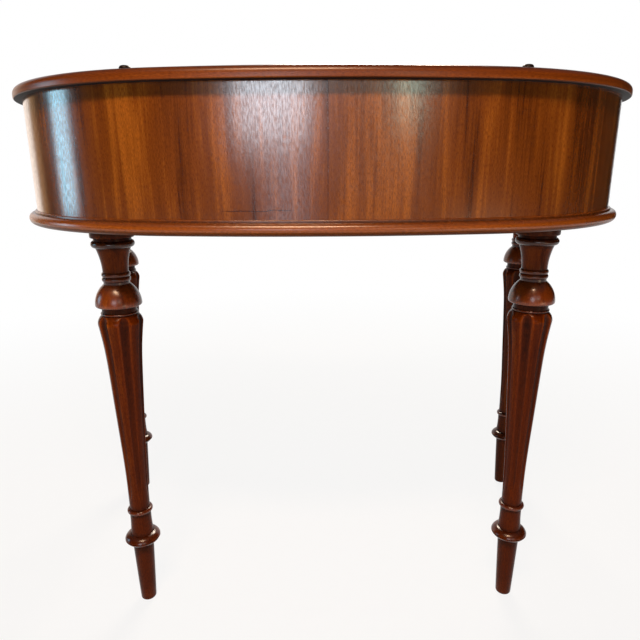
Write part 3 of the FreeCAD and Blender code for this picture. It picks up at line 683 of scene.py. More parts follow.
def away(tree, value, middle):
    """How far a value lies from a middle, either way."""
    return sums(tree, "ABSOLUTE", sums(tree, "SUBTRACT", value, middle))


def ease(tree, value, low, high, to_low=0.0, to_high=1.0):
    """A smooth step of a value from one range to another."""
    made = add(tree, "ShaderNodeMapRange", {0: value, 1: low, 2: high, 3: to_low, 4: to_high},
               interpolation_type="SMOOTHSTEP")
    return made.outputs[0]


def blend(tree, share, first, second, mode="MIX"):
    """Mix two colours."""
    made = add(tree, "ShaderNodeMix", {0: share, 6: first, 7: second}, data_type="RGBA", blend_type=mode)
    return made.outputs[2]


def vector_sum(tree, operation, first, second):
    return add(tree, "ShaderNodeVectorMath", {0: first, 1: second}, operation=operation).outputs[0]


def parts(tree, vector):
    return add(tree, "ShaderNodeSeparateXYZ", {0: vector}).outputs


def noise(tree, vector, detail=2.0, rough=0.5, scale=1.0):
    feeds = {"Vector": vector, "Scale": scale, "Detail": detail, "Roughness": rough}
    return add(tree, "ShaderNodeTexNoise", feeds, noise_dimensions="3D").outputs["Fac"]


def waves(tree, place, per_metre, detail=2.0, rough=0.5):
    """Noise with its own count of waves per metre along each axis."""
    return noise(tree, vector_sum(tree, "MULTIPLY", place, per_metre), detail, rough)


print("node helpers ready")

# %% [markdown]
# ## Groups and materials
# What several finishes share is a node group with named sockets, so one change reaches them
# all. A group gives only colours and values. The shader stays in each material, where a learner
# finds it first.

# %% Groups and materials


def new_group(name, inputs, outputs):
    """An empty node group with named sockets, and its input and output nodes."""
    tree = bpy.data.node_groups.new(name, "ShaderNodeTree")
    for label, kind, start in inputs:
        socket = tree.interface.new_socket(label, in_out="INPUT", socket_type=SOCKET_KINDS[kind])
        socket.default_value = start
    for label, kind in outputs:
        tree.interface.new_socket(label, in_out="OUTPUT", socket_type=SOCKET_KINDS[kind])
    return tree, tree.nodes.new("NodeGroupInput").outputs, tree.nodes.new("NodeGroupOutput").inputs


def use_group(tree, group, feeds):
    made = tree.nodes.new("ShaderNodeGroup")
    made.node_tree = group
    for key, source in feeds.items():
        feed(tree, made.inputs[key], source)
    return made.outputs


def new_material(name):
    """A material, its node tree and its shader."""
    material = bpy.data.materials.new(name)
    material.use_nodes = True
    return material, material.node_tree, material.node_tree.nodes["Principled BSDF"]


def relief(tree, shader, height, strength, distance):
    """Let a height tilt the shading, as fine pores and scratches do."""
    bump = add(tree, "ShaderNodeBump", {"Height": height, "Strength": strength, "Distance": distance})
    feed(tree, shader.inputs["Normal"], bump.outputs[0])


def dress(piece, finish):
    """Give a piece one finish."""
    piece.data.materials.clear()
    piece.data.materials.append(finish)


print("groups and materials ready")

# %% [markdown]
# ## Grain
# Mahogany cut on the quarter shows ribbons: bands a few millimetres wide that run with the
# grain and wander a little, crossed by finer lines and by short dark pores. The group takes
# a place measured across and along the grain in metres, so one recipe serves the upright
# veneer, the mouldings and the legs. It also says how whole the film of polish is: where the
# wood has sunk below it, a sheen breaks up into fine streaks.

# %% Grain group
BLACK = (0.0, 0.0, 0.0, 1.0)
ORIGIN = (0.0, 0.0, 0.0)
WANDER_WAVES, WANDER_REACH = (7.0, 2.2, 7.0), 0.016
BROAD_WAVES, RIBBON_WAVES, BAND_GAIN = (20.0, 1.2, 20.0), (64.0, 3.2, 64.0), 2.0
FINE_WAVES, FINE_WEIGHT = (380.0, 7.0, 380.0), 0.70
ROE_WAVES, ROE_WEIGHT = (75.0, 9.0, 75.0), 0.30
PORE_WAVES, PORE_RANGE, PORE_WEIGHT = (1350.0, 230.0, 1350.0), (0.36, 0.74), 0.60
FILM_WAVES, FILM_RANGE, FILM_LEAST = (640.0, 125.0, 640.0), (0.36, 0.64), 0.28


def make_grain():
    """Colour from three tones, a height for relief, and how whole the film of polish is."""
    tree, given, gives = new_group(
        "ribbon_grain",
        [("Place", "vector", ORIGIN),
         ("Dark", "colour", BLACK), ("Middle", "colour", BLACK), ("Light", "colour", BLACK),
         ("Broad", "value", 0.5), ("Ribbon", "value", 0.5), ("Shift", "value", 0.0)],
        [("Colour", "colour"), ("Height", "value"), ("Film", "value")])
    wander = centred(tree, waves(tree, given["Place"], WANDER_WAVES), WANDER_REACH)
    sway = add(tree, "ShaderNodeCombineXYZ", {0: wander}).outputs[0]
    place = vector_sum(tree, "ADD", given["Place"], sway)
    broad = waves(tree, place, BROAD_WAVES)
    ribbon = waves(tree, place, RIBBON_WAVES, 3.0, 0.55)
    fine = waves(tree, place, FINE_WAVES, 4.0, 0.65)
    roe = waves(tree, place, ROE_WAVES, 3.0, 0.6)
    pores = ease(tree, waves(tree, place, PORE_WAVES, 2.0, 0.6), *PORE_RANGE)
    tone = plus(tree, centred(tree, broad, times(tree, given["Broad"], BAND_GAIN)),
                centred(tree, ribbon, times(tree, given["Ribbon"], BAND_GAIN)))
    tone = plus(tree, tone, centred(tree, fine, FINE_WEIGHT))
    tone = plus(tree, tone, centred(tree, roe, ROE_WEIGHT))
    tone = plus(tree, plus(tree, tone, 0.5), given["Shift"], True)
    low = blend(tree, ease(tree, tone, 0.0, 0.5), given["Dark"], given["Middle"])
    full = blend(tree, ease(tree, tone, 0.5, 1.0), low, given["Light"])
    feed(tree, gives["Colour"], blend(tree, times(tree, pores, PORE_WEIGHT), full, given["Dark"]))
    feed(tree, gives["Height"], sums(tree, "SUBTRACT", fine, pores))
    film = waves(tree, place, FILM_WAVES, 3.0, 0.6)
    feed(tree, gives["Film"], ease(tree, film, *FILM_RANGE, FILM_LEAST, 1.0))
    return tree


GRAIN = make_grain()
print("group", GRAIN.name, "with", len(GRAIN.nodes), "nodes")

# %% [markdown]
# ## Polish
# French polish is a thin shiny film that has been rubbed for a century. It is not equally
# shiny everywhere: hands leave cloudy patches and dusting leaves hair scratches. The group
# moves a given roughness up and down a little by both.

# %% Polish group
CLOUD_SCALE, CLOUD_WEIGHT = 9.0, 0.10
RUB_WAVES, RUB_WEIGHT = (60.0, 14.0, 60.0), 0.06


def make_polish():
    tree, given, gives = new_group(
        "rubbed_polish", [("Place", "vector", ORIGIN), ("Roughness", "value", 0.2)], [("Roughness", "value")])
    clouds = centred(tree, noise(tree, given["Place"], 4.0, 0.6, CLOUD_SCALE), CLOUD_WEIGHT)
    rubs = centred(tree, waves(tree, given["Place"], RUB_WAVES), RUB_WEIGHT)
    feed(tree, gives["Roughness"], plus(tree, plus(tree, given["Roughness"], clouds), rubs, True))
    return tree


POLISH = make_polish()
print("group", POLISH.name, "with", len(POLISH.nodes), "nodes")

# %% [markdown]
# ## Age and painted light
# Wax, dust and old polish settle dark in hollows, and dusting rubs the edges paler. The same
# darkening also paints shade into hollows, and the same paling paints highlights onto edges.
# The two numbers that the meshes carry say where. A node group turns them into colour, with a
# little noise so that the change is never a clean line.

# %% Age and painted light group
# Darker tone in hollows: dirt and painted shade. Paler gain on edges: wear and painted highlight.
DIRT_AND_SHADE_TONE, DIRT_AND_SHADE_MOST = (0.006, 0.0015, 0.0006, 1.0), 0.85
WEAR_AND_HIGHLIGHT_GAIN, WEAR_AND_HIGHLIGHT_MOST = (2.8, 3.2, 4.0, 1.0), 0.8
PATCH_SCALE, PATCH_RANGE, PATCH_LEAST = 120.0, (0.25, 0.75), 0.6


def make_age_and_painted_light():
    tree, given, gives = new_group(
        "age_and_painted_light_marks",
        [("Colour", "colour", BLACK), ("Place", "vector", ORIGIN), ("Hollow", "value", 0.0),
         ("Proud", "value", 0.0)],
        [("Colour", "colour")])
    patches = ease(tree, noise(tree, given["Place"], 3.0, 0.6, PATCH_SCALE), *PATCH_RANGE, PATCH_LEAST, 1.0)
    # Darkening in hollows is dirt and painted shade; paling on edges is wear and painted highlight.
    dirt_and_shade = times(tree, times(tree, given["Hollow"], DIRT_AND_SHADE_MOST), patches, True)
    wear_and_highlight = times(tree, times(tree, given["Proud"], WEAR_AND_HIGHLIGHT_MOST), patches, True)
    darker = blend(tree, dirt_and_shade, given["Colour"], DIRT_AND_SHADE_TONE)
    paler = blend(tree, 1.0, darker, WEAR_AND_HIGHLIGHT_GAIN, "MULTIPLY")
    feed(tree, gives["Colour"], blend(tree, wear_and_highlight, darker, paler))
    return tree


AGE_AND_PAINTED_LIGHT = make_age_and_painted_light()
print("group", AGE_AND_PAINTED_LIGHT.name, "with", len(AGE_AND_PAINTED_LIGHT.nodes), "nodes")

# %% [markdown]
# ## Veneer leaves
# The two leaves on the back may come from one log, yet they differ. The left one is golden in
# its middle and darker beside that; the right one starts lighter at the joint, partly in its own
# tone and partly as a painted reflection. The joint shows as a dark line, and one hairline crack
# runs near the left leaf's foot. All of this is drawn in the veneer's own material, at its true
# place in metres.

# %% Veneer leaves
LEFT_ZONES = ((-0.228, 0.060, 0.20), (-0.160, 0.040, -0.06), (-0.345, 0.060, -0.10))
# The right leaf's lift from the joint: its own tone and a painted reflection.
RIGHT_STEP, RIGHT_RANGE, RIGHT_TONE_AND_SHEEN_LIFT = 0.001, (0.03, 0.16), 0.30
JOINT_RANGE, JOINT_DARK = (0.0003, 0.0016), 0.28
CRACK_HEIGHT, CRACK_SLOPE, CRACK_MIDDLE, CRACK_HALF = 0.6118, 0.028, -0.080, 0.046
CRACK_RANGE, CRACK_DARK, CRACK_TAPER = (0.0002, 0.0010), 0.75, 0.7
CRACK_SCALE, CRACK_WANDER = 30.0, 0.009


def leaf_zones(tree, place):
    """A shift of the tone: by middle, reach and lift on the left leaf, and from the joint on the right."""
    across = parts(tree, place)["X"]
    total = 0.0
    for middle, reach, lift in LEFT_ZONES:
        total = plus(tree, total, ease(tree, away(tree, across, middle), 0.0, reach, lift, 0.0))
    # From the joint the right leaf is lighter: its own tone and a painted reflection.
    right_leaf = ease(tree, across, 0.0, RIGHT_STEP)
    return plus(tree, total, times(tree, right_leaf, ease(tree, across, *RIGHT_RANGE, RIGHT_TONE_AND_SHEEN_LIFT, 0.0)))


def leaf_marks(tree, place):
    """Where the veneer is dark: the joint of the two leaves and the crack."""
    spot = parts(tree, place)
    joint = ease(tree, sums(tree, "ABSOLUTE", spot["X"]), *JOINT_RANGE, JOINT_DARK, 0.0)
    wander = centred(tree, noise(tree, place, 3.0, 0.6, CRACK_SCALE), CRACK_WANDER)
    slant = plus(tree, times(tree, spot["X"], CRACK_SLOPE), CRACK_HEIGHT)
    off = sums(tree, "ABSOLUTE", plus(tree, sums(tree, "SUBTRACT", spot["Z"], slant), wander))
    reach = away(tree, spot["X"], CRACK_MIDDLE)
    crack = times(tree, ease(tree, off, *CRACK_RANGE, CRACK_DARK, 0.0),
                  ease(tree, reach, CRACK_HALF * CRACK_TAPER, CRACK_HALF, 1.0, 0.0))
    return sums(tree, "MAXIMUM", joint, crack)


print("veneer zones", len(LEFT_ZONES) + 1)

# %% [markdown]
# ## Wood finishes
# Every wood here is the same recipe: grain in three tones, polish, and age over it, where age
# also paints shade and highlights. The tones are deeper on the legs, redder on the top's edge and
# lighter on the base. The dome and the neck of a leg take a lighter tone, as painted light, and the
# top's underside a near-black one, as painted shade. The specular level is lower on plain
# stretches and on rounds that turn down, since the white floor would veil them, and higher where
# the photograph shows clear highlights. The veneer alone has a coat on top, whose weight follows
# the film of polish. Drawers, inner woods and undersides get a little relief.

# %% Wood finishes
COAT_IOR = 1.75
RELIEF_DISTANCE = 0.0002
DEEP = ((0.026, 0.0030, 0.0002), (0.106, 0.0180, 0.0010), (0.215, 0.049, 0.0040))
# Lighter tone for the dome and neck: painted light on parts the lamps leave in shade.
LIT_ROUND_TONE = ((0.045, 0.006, 0.0005), (0.185, 0.036, 0.003), (0.33, 0.085, 0.009))
EDGE_TONE = ((0.035, 0.0058, 0.0006), (0.132, 0.0285, 0.0024), (0.235, 0.060, 0.0065))
BASE_TONE = ((0.075, 0.014, 0.0012), (0.240, 0.060, 0.005), (0.37, 0.110, 0.013))
RIBBON = ((0.040, 0.0075, 0.0005), (0.138, 0.034, 0.0026), (0.27, 0.078, 0.0066))
# Near black for the top's underside: painted shade under the overhang.
UNDERSIDE_SHADE_TONE = ((0.004, 0.0015, 0.0008), (0.010, 0.004, 0.002), (0.020, 0.008, 0.004))
RAW = ((0.07, 0.025, 0.010), (0.14, 0.055, 0.022), (0.21, 0.09, 0.04))
OAK = ((0.20, 0.12, 0.055), (0.33, 0.21, 0.105), (0.44, 0.30, 0.16))
EBONY = ((0.004, 0.002, 0.0015), (0.010, 0.005, 0.004), (0.022, 0.012, 0.008))
CALM, PLAIN, LIVELY = (0.4, 0.5), (0.5, 0.5), (0.50, 0.95)


def grain_place(tree, source, order):
    """Reorder a coordinate so that X and Z run across the grain and Y runs along it."""
    spot = parts(tree, source)
    picked = {index: spot[axis] for index, axis in enumerate(order)}
    return add(tree, "ShaderNodeCombineXYZ", picked).outputs[0]


def wood(name, order, tones, bands, rough, level, strength=0.0, uv=False, leaves=False):
    """A wood with its grain along the second axis of order, in broad and ribbon bands."""
    material, tree, shader = new_material(name)
    coordinates = tree.nodes.new("ShaderNodeTexCoord").outputs
    place = grain_place(tree, coordinates["UV" if uv else "Object"], order)
    dark, middle, light = ((*tone, 1) for tone in tones)
    grain = use_group(tree, GRAIN, {"Place": place, "Dark": dark, "Middle": middle, "Light": light,
                                    "Broad": bands[0], "Ribbon": bands[1]})
    polish = use_group(tree, POLISH, {"Place": place, "Roughness": rough})
    hollow = add(tree, "ShaderNodeAttribute", attribute_name="hollow").outputs["Fac"]
    proud = add(tree, "ShaderNodeAttribute", attribute_name="proud").outputs["Fac"]
    # Age marks: dirt and painted shade in hollows, wear and painted highlight on edges.
    age_and_light_inputs = {"Colour": grain["Colour"], "Place": place, "Hollow": hollow, "Proud": proud}
    colour = use_group(tree, AGE_AND_PAINTED_LIGHT, age_and_light_inputs)["Colour"]
    if leaves:
        feed(tree, grain["Colour"].node.inputs["Shift"], leaf_zones(tree, coordinates["Object"]))
        colour = blend(tree, leaf_marks(tree, coordinates["Object"]), colour, dark)
        feed(tree, shader.inputs["Coat Weight"], grain["Film"])
        shader.inputs["Coat Roughness"].default_value = rough
        shader.inputs["Coat IOR"].default_value = COAT_IOR
    feed(tree, shader.inputs["Base Color"], colour)
    feed(tree, shader.inputs["Roughness"], polish["Roughness"])
    shader.inputs["Specular IOR Level"].default_value = level
    if strength:
        relief(tree, shader, grain["Height"], strength, RELIEF_DISTANCE)
    return material


FINISHES = {
    "veneer": wood("mahogany_veneer", "XYZ", RIBBON, LIVELY, rough=0.18, level=0.35, uv=True, leaves=True),
    "moulding": wood("mahogany_moulding", "YXZ", EDGE_TONE, CALM, rough=0.30, level=0.3, uv=True),
    "base": wood("mahogany_base", "YXZ", BASE_TONE, CALM, rough=0.27, level=0.5, uv=True),
    "turned": wood("mahogany_turned", "XZY", DEEP, CALM, rough=0.22, level=0.06),
    "rubbed": wood("mahogany_rubbed", "XZY", DEEP, CALM, rough=0.24, level=0.40),
    # Dome and neck: a lighter tone, as painted light.
    "dome": wood("mahogany_dome_painted_light", "XZY", LIT_ROUND_TONE, CALM, rough=0.25, level=0.50),
    "neck": wood("mahogany_neck_painted_light", "XZY", LIT_ROUND_TONE, CALM, rough=0.22, level=0.06),
    "edge_under": wood("mahogany_edge_under", "YXZ", EDGE_TONE, CALM, rough=0.3, level=0.1, uv=True),
    "base_under": wood("mahogany_base_under", "YXZ", BASE_TONE, CALM, rough=0.3, level=0.1, uv=True),
    "underside_shade": wood("underside_painted_shade", "YXZ", UNDERSIDE_SHADE_TONE, PLAIN, rough=0.6, level=0.1, strength=0.1),
    "upright": wood("mahogany_upright", "XZY", RIBBON, (0.50, 0.90), rough=0.22, level=0.25, strength=0.04),
    "level": wood("mahogany_level", "YXZ", EDGE_TONE, (0.5, 0.6), rough=0.24, level=0.4, strength=0.1),
    "raw": wood("mahogany_unpolished", "YXZ", RAW, PLAIN, rough=0.75, level=0.15, strength=0.3),
    "carcase": wood("carcase_wood", "YXZ", OAK, PLAIN, rough=0.65, level=0.2, strength=0.3),
    "lining": wood("drawer_lining", "XYZ", OAK, PLAIN, rough=0.50, level=0.25, strength=0.3),
    "stud": wood("dark_stud", "XZY", EBONY, PLAIN, rough=0.40, level=0.12),
}
print("wood finishes", len(FINISHES))

# %% [markdown]
# ## Finishes on the turned and moulded pieces
# One board can show more than one finish. The top and the base are polished outside, duller
# where their rounds turn down, and underneath the top is near black, as painted shade, while
# the base is left raw. On the legs, beads, rings and domes are rubbed brighter than the plain
# stretches, and the dome and neck take a lighter tone, as painted light. Each face takes its
# material by the way it looks or by its height.

# %% Finishes on the turned and moulded pieces
FACES_DOWN, TURNS_UNDER = -0.9, -0.3
RING_TOP_Z = FOOT_HEIGHT + RING_LOW + RING_GROOVE + RING_HIGH
SHAFT_LOW_Z = LEG_PROFILE[SHAFT_LOW][1]
DOME_TOP_Z = DOME_LOW_Z + DOME_HEIGHT
LEG_FINISHES = (
    ("rubbed", FOOT_HEIGHT, RING_TOP_Z),
    ("rubbed", SHAFT_LOW_Z - BEAD_TALL, SHAFT_LOW_Z),
    ("rubbed", SHOULDER_TOP_Z, SHOULDER_TOP_Z + COLLAR_BEAD_HEIGHT),
    ("dome", DOME_LOW_Z, DOME_TOP_Z),
    ("rubbed", DOME_TOP_Z, NECK_TOP_Z - NECK_HEIGHT),
    ("neck", NECK_TOP_Z - NECK_HEIGHT, NECK_TOP_Z),
    ("rubbed", NECK_TOP_Z, NECK_TOP_Z + TORUS_HEIGHT))
LEG_EXTRAS = ("rubbed", "dome", "neck")


def finish_underside(piece, lower_round, flat):
    """Give one finish to faces that turn under and another to those that look straight down."""
    piece.data.materials.append(FINISHES[lower_round])
    piece.data.materials.append(FINISHES[flat])
    for face in piece.data.polygons:
        if face.normal.z < FACES_DOWN:
            face.material_index = 2
        elif face.normal.z < TURNS_UNDER:
            face.material_index = 1


def finish_members(leg):
    """Give the members of a leg their own finishes, by height."""
    for finish in LEG_EXTRAS:
        leg.data.materials.append(FINISHES[finish])
    for face in leg.data.polygons:
        z = face.center.z / MM
        for finish, low, high in LEG_FINISHES:
            if low < z < high:
                face.material_index = 1 + LEG_EXTRAS.index(finish)


for leaf in leaves:
    dress(leaf, FINISHES["veneer"])
dress(top, FINISHES["moulding"])
dress(base, FINISHES["base"])
# The top's underside takes a near-black tone: painted shade under the overhang.
finish_underside(top, "edge_under", "underside_shade")
finish_underside(base, "base_under", "raw")
for leg in legs:
    dress(leg, FINISHES["turned"])
    finish_members(leg)
print("finished pieces", len(leaves) + len(legs) + 2)

# %% [markdown]
# ## Leather
# The panel on the top is skiver, a thin split leather, dyed green. A heated wheel presses gold
# leaf into it along the edge. The lines are drawn by the UV, which runs inwards from the edge,
# so they keep their distance all round. Where the gold is rubbed away, the leather shows.

# %% Leather
SKIN_DARK, SKIN_LIGHT = (0.014, 0.032, 0.014, 1), (0.030, 0.050, 0.021, 1)
SKIN_PORE, GOLD = (0.006, 0.014, 0.007, 1), (0.52, 0.34, 0.10, 1)
TOOLED_LINES = ((0.0095, 0.0011), (0.0150, 0.0004), (0.0250, 0.0004))
PEBBLES, CLOUDS, RUBS = 900.0, 9.0, 60.0
PEBBLE_HEIGHT, LINE_DEPTH, SKIN_STRENGTH, SKIN_DISTANCE = -0.5, 0.8, 0.35, 0.0004


def leather_finish():
    material, tree, shader = new_material("green_skiver")
    coordinates = tree.nodes.new("ShaderNodeTexCoord").outputs
    place = coordinates["Object"]
    inset = parts(tree, coordinates["UV"])["Y"]
    cells = add(tree, "ShaderNodeTexVoronoi", {"Vector": place, "Scale": PEBBLES}, feature="F1")
    pebble = cells.outputs["Distance"]
    worn = noise(tree, place, 5.0, 0.6, CLOUDS)
    colour = blend(tree, ease(tree, worn, 0.3, 0.75), SKIN_DARK, SKIN_LIGHT)
    colour = blend(tree, ease(tree, pebble, 0.35, 0.75, 0.0, 0.5), colour, SKIN_PORE)
    lines = 0.0
    for middle, half in TOOLED_LINES:
        lines = sums(tree, "MAXIMUM", lines, sums(tree, "LESS_THAN", away(tree, inset, middle), half))
    rubbed = ease(tree, noise(tree, place, 4.0, 0.6, RUBS), 0.32, 0.5, 0.25, 1.0)
    gold = times(tree, lines, rubbed)
    feed(tree, shader.inputs["Base Color"], blend(tree, gold, colour, GOLD))
    feed(tree, shader.inputs["Metallic"], gold)
    feed(tree, shader.inputs["Roughness"], ease(tree, worn, 0.2, 0.8, 0.58, 0.48))
    height = sums(tree, "SUBTRACT", times(tree, pebble, PEBBLE_HEIGHT), times(tree, lines, LINE_DEPTH))
    relief(tree, shader, height, SKIN_STRENGTH, SKIN_DISTANCE)
    return material


dress(leather, leather_finish())
print("leather with", len(TOOLED_LINES), "tooled lines")

# %% [markdown]
# ## Brass and steel
# The locks and keyhole plates are brass that has gone brown where nobody rubs it, and the
# screws are plain steel. One group serves both: blotches of a duller colour that are also
# rougher, and fine scratches.

# %% Brass and steel
BLOTCH_SCALE, SCRATCH_WAVES = 160.0, (900.0, 900.0, 4000.0)
BRIGHT_ROUGHNESS, DULL_ROUGHNESS = 0.22, 0.25
METAL_STRENGTH, METAL_DISTANCE = 0.08, 0.0003


def make_tarnish():
    tree, given, gives = new_group(
        "handled_metal",
        [("Place", "vector", ORIGIN), ("Bright", "colour", BLACK), ("Dull", "colour", BLACK)],
        [("Colour", "colour"), ("Roughness", "value"), ("Height", "value")])
    blotch = noise(tree, given["Place"], 5.0, 0.65, BLOTCH_SCALE)
    dull = ease(tree, blotch, 0.35, 0.7)
    feed(tree, gives["Colour"], blend(tree, dull, given["Bright"], given["Dull"]))
    feed(tree, gives["Roughness"], plus(tree, times(tree, dull, DULL_ROUGHNESS), BRIGHT_ROUGHNESS))
    feed(tree, gives["Height"], plus(tree, waves(tree, given["Place"], SCRATCH_WAVES), blotch))
    return tree


TARNISH = make_tarnish()


def metal(name, bright, dull):
    material, tree, shader = new_material(name)
    place = tree.nodes.new("ShaderNodeTexCoord").outputs["Object"]
    skin = use_group(tree, TARNISH, {"Place": place, "Bright": (*bright, 1), "Dull": (*dull, 1)})
    feed(tree, shader.inputs["Base Color"], skin["Colour"])
    feed(tree, shader.inputs["Roughness"], skin["Roughness"])
    shader.inputs["Metallic"].default_value = 1.0
    relief(tree, shader, skin["Height"], METAL_STRENGTH, METAL_DISTANCE)
    return material


FINISHES["brass"] = metal("aged_brass", (0.62, 0.40, 0.13), (0.20, 0.11, 0.035))
FINISHES["steel"] = metal("plain_steel", (0.34, 0.33, 0.31), (0.14, 0.12, 0.10))
print("finishes", len(FINISHES))

# %% [markdown]
# ## Finishes for the solids
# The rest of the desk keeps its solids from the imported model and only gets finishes, chosen
# by what each piece is called. Grain runs up the drawer fronts and partitions, from side to
# side in the rails and the carcase woods, and from front to back in the drawers' linings.

# %% Finishes for the solids
NODE_FINISHES = (
    ("_knobs", "turned"), ("_front", "upright"), ("partition_", "upright"), ("stile_", "upright"),
    ("top_rail_", "level"), ("top_studs", "stud"), ("_lock", "brass"), ("_keyhole_plate", "brass"),
    ("_screws", "steel"), ("_side_", "lining"), ("_back", "lining"), ("_bottom", "lining"))


def finish_of(name):
    """The finish of the first words found in a node's name; legs and the rest are carcase wood."""
    for words, finish in NODE_FINISHES:
        if words in name and not name.startswith("leg_"):
            return FINISHES[finish]
    return FINISHES["carcase"]


for name, piece in nodes.items():
    dress(piece, finish_of(name))
print("finished solids", len(nodes))

# %% [markdown]
# ## Floor
# The floor is pale and plain. It lights the desk as a mid grey would, but the camera and
# reflections see it nearly white, and quite white further off, so that it runs into the white
# background with only a soft shadow under the legs.

# %% Floor
FLOOR_RADIUS, FLOOR_SIDES, FLOOR_ALBEDO, SPECKLE = 12.0, 96, 0.5, 0.02
SPECKLE_SCALE, GLOW_RANGE, GLOW_NEAR = 40.0, (0.5, 2.2), 0.86
MATT = 0.9


def stage_mesh(name, points, faces):
    """A mesh that belongs to the stage and not to the desk."""
    mesh = bpy.data.meshes.new(name)
    mesh.from_pydata(points, [], faces)
    piece = bpy.data.objects.new(name, mesh)
    scene.collection.objects.link(piece)
    return piece


def matt_material(name):
    """A material without gloss, and the place of each point in metres."""
    material, tree, shader = new_material(name)
    shader.inputs["Roughness"].default_value = MATT
    shader.inputs["Specular IOR Level"].default_value = 0.0
    return material, tree, shader, add(tree, "ShaderNodeNewGeometry").outputs["Position"]


def seen_directly(tree):
    """1 for rays from the camera, from gloss and through glass."""
    path = tree.nodes.new("ShaderNodeLightPath").outputs
    seen = plus(tree, path["Is Camera Ray"], path["Is Glossy Ray"])
    return plus(tree, seen, path["Is Transmission Ray"], True)


def floor_finish():
    material, tree, shader, place = matt_material("pale_floor")
    speckle = noise(tree, place, 3.0, 0.5, SPECKLE_SCALE)
    tone = ease(tree, speckle, 0.0, 1.0, FLOOR_ALBEDO - SPECKLE, FLOOR_ALBEDO + SPECKLE)
    grey = add(tree, "ShaderNodeCombineColor", {0: tone, 1: tone, 2: tone}).outputs[0]
    feed(tree, shader.inputs["Base Color"], grey)
    glow = add(tree, "ShaderNodeEmission", {"Color": (1, 1, 1, 1), "Strength": 1.0})
    reach = add(tree, "ShaderNodeVectorMath", {0: place}, operation="LENGTH").outputs["Value"]
    share = times(tree, ease(tree, reach, *GLOW_RANGE, GLOW_NEAR, 1.0), seen_directly(tree))
    mixed = add(tree, "ShaderNodeMixShader", {0: share, 1: shader.outputs[0], 2: glow.outputs[0]})
    feed(tree, tree.nodes["Material Output"].inputs["Surface"], mixed.outputs[0])
    return material


ring = [(FLOOR_RADIUS * math.cos(turn), FLOOR_RADIUS * math.sin(turn), 0.0)
        for turn in (math.tau * index / FLOOR_SIDES for index in range(FLOOR_SIDES))]
floor = stage_mesh("floor", ring, [tuple(range(FLOOR_SIDES))])
dress(floor, floor_finish())
print("floor radius", FLOOR_RADIUS)

# %% [markdown]
# ## Sky
# The background is white to the camera and to reflections near the horizon, and dims towards a
# ceiling, so that the top does not mirror a white sky. For the light that falls on the desk it
# is only a weak, even fill.

# %% Sky
AMBIENT, CEILING, CEILING_RANGE = 0.09, 0.12, (0.36, 0.62)

world = bpy.data.worlds.new("studio")
scene.world = world
world.use_nodes = True
sky = world.node_tree
rise = parts(sky, sky.nodes.new("ShaderNodeTexCoord").outputs["Generated"])["Z"]
horizon = ease(sky, rise, *CEILING_RANGE, 1.0, CEILING)
level = add(sky, "ShaderNodeMix", {0: seen_directly(sky), 2: AMBIENT, 3: horizon}, data_type="FLOAT")
feed(sky, sky.nodes["Background"].inputs["Color"], (1, 1, 1, 1))
feed(sky, sky.nodes["Background"].inputs["Strength"], level.outputs[0])
print("sky", world.name)

# %% [markdown]
# ## Dark wall
# A polished desk mirrors its room. A curved dark wall stands on the camera's side, where the
# room would be, and is open behind the desk. Only reflections and light see it, so the
# picture's background stays white. Without it the frieze would mirror white all over.

# %% Dark wall
WALL_RADIUS, WALL_HEIGHT, WALL_COLUMNS = 4.2, 3.4, 97
WALL_LEFT, WALL_RIGHT = math.radians(-125), math.radians(138)
WALL_DARK, WALL_LIGHT, WALL_SCALE = (0.03, 0.025, 0.02, 1), (0.08, 0.07, 0.06, 1), 0.9


def wall_finish():
    material, tree, shader, place = matt_material("dark_wall")
    mottle = noise(tree, place, 2.0, 0.5, WALL_SCALE)
    feed(tree, shader.inputs["Base Color"], blend(tree, mottle, WALL_DARK, WALL_LIGHT))
    return material


wall_points = [(WALL_RADIUS * math.sin(turn), -WALL_RADIUS * math.cos(turn), z)
               for turn in np.linspace(WALL_LEFT, WALL_RIGHT, WALL_COLUMNS) for z in (0.0, WALL_HEIGHT)]
wall = stage_mesh("dark_wall", wall_points, grid_faces(WALL_COLUMNS, 2, False)[0])
wall.visible_camera = False
dress(wall, wall_finish())
print("wall columns", WALL_COLUMNS)

# %% [markdown]
# ## Soft boxes
# Soft rectangular lights stand where the room's windows, pale walls and lamps would be. Most
# make one of the highlights: the broken sheen in the middle of the frieze and its tail, the
# blue strip at the left end, a faint green glint at the right, and the warm lines on the
# mouldings. Brightness is given per area, so that a box can change size and keep its look.

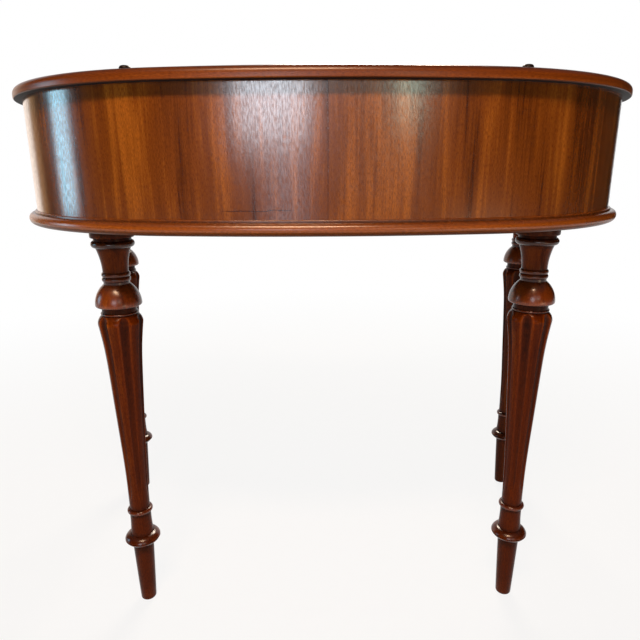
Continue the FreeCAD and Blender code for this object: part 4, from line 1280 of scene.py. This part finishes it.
# %% Soft boxes
SHEEN, GLINT, BACK, DESK_MIDDLE = (-0.1, -0.25, 0.7), (0.14, -0.25, 0.7), (0.0, -0.25, 0.7), (0.0, -0.1, 0.68)
SOFT_BOXES = (
    ("window_behind", (-0.56, -3.2, 1.08), SHEEN, (0.84, 0.50), 8.0, (0.82, 0.90, 1.0)),
    ("window_sill", (-0.40, -3.2, 0.50), SHEEN, (0.50, 0.60), 1.3, (0.62, 0.82, 1.0)),
    ("window_left", (-3.38, 0.02, 0.86), (-0.4, -0.13, 0.7), (0.74, 1.0), 5.0, (0.44, 0.80, 1.0)),
    ("tan_wall", (-2.65, 2.0, 0.8), (-0.45, -0.05, 0.7), (1.6, 1.8), 0.40, (1.0, 0.56, 0.25)),
    ("garden_glint", (1.02, -3.2, 1.2), GLINT, (0.24, 0.55), 4.6, (0.72, 1.0, 0.80)),
    ("upper_window", (0.35, -3.4, 1.62), BACK, (2.4, 0.85), 0.8, (0.95, 0.97, 1.0)),
    ("pale_wall", (0.75, -3.5, 0.9), BACK, (1.3, 1.0), 0.3, (1.0, 0.9, 0.8)),
    ("lamp_above", (-0.16, -1.15, 2.02), DESK_MIDDLE, (0.70, 0.22), 63.0, (1.0, 0.66, 0.42)),
    ("low_fill", (1.60, -2.00, 0.12), (0.0, -0.1, 0.5), (1.0, 0.20), 6.0, (1.0, 0.66, 0.40)),
    ("lamp_drawers", (0.30, 1.80, 2.15), DESK_MIDDLE, (0.9, 0.6), 32.0, (1.0, 0.86, 0.70)))
POWER_PER_AREA = 4


def soft_box(name, place, aim, size, brightness, colour):
    """A rectangular light of a set brightness that faces a point."""
    light = bpy.data.lights.new(name, "AREA")
    light.shape = "RECTANGLE"
    light.size, light.size_y = size
    light.energy = POWER_PER_AREA * brightness * size[0] * size[1]
    light.color = colour
    lamp = bpy.data.objects.new(name, light)
    lamp.location = place
    lamp.rotation_euler = (Vector(aim) - Vector(place)).to_track_quat("-Z", "Y").to_euler()
    scene.collection.objects.link(lamp)


for box in SOFT_BOXES:
    soft_box(*box)
print("lights", [box[0] for box in SOFT_BOXES])
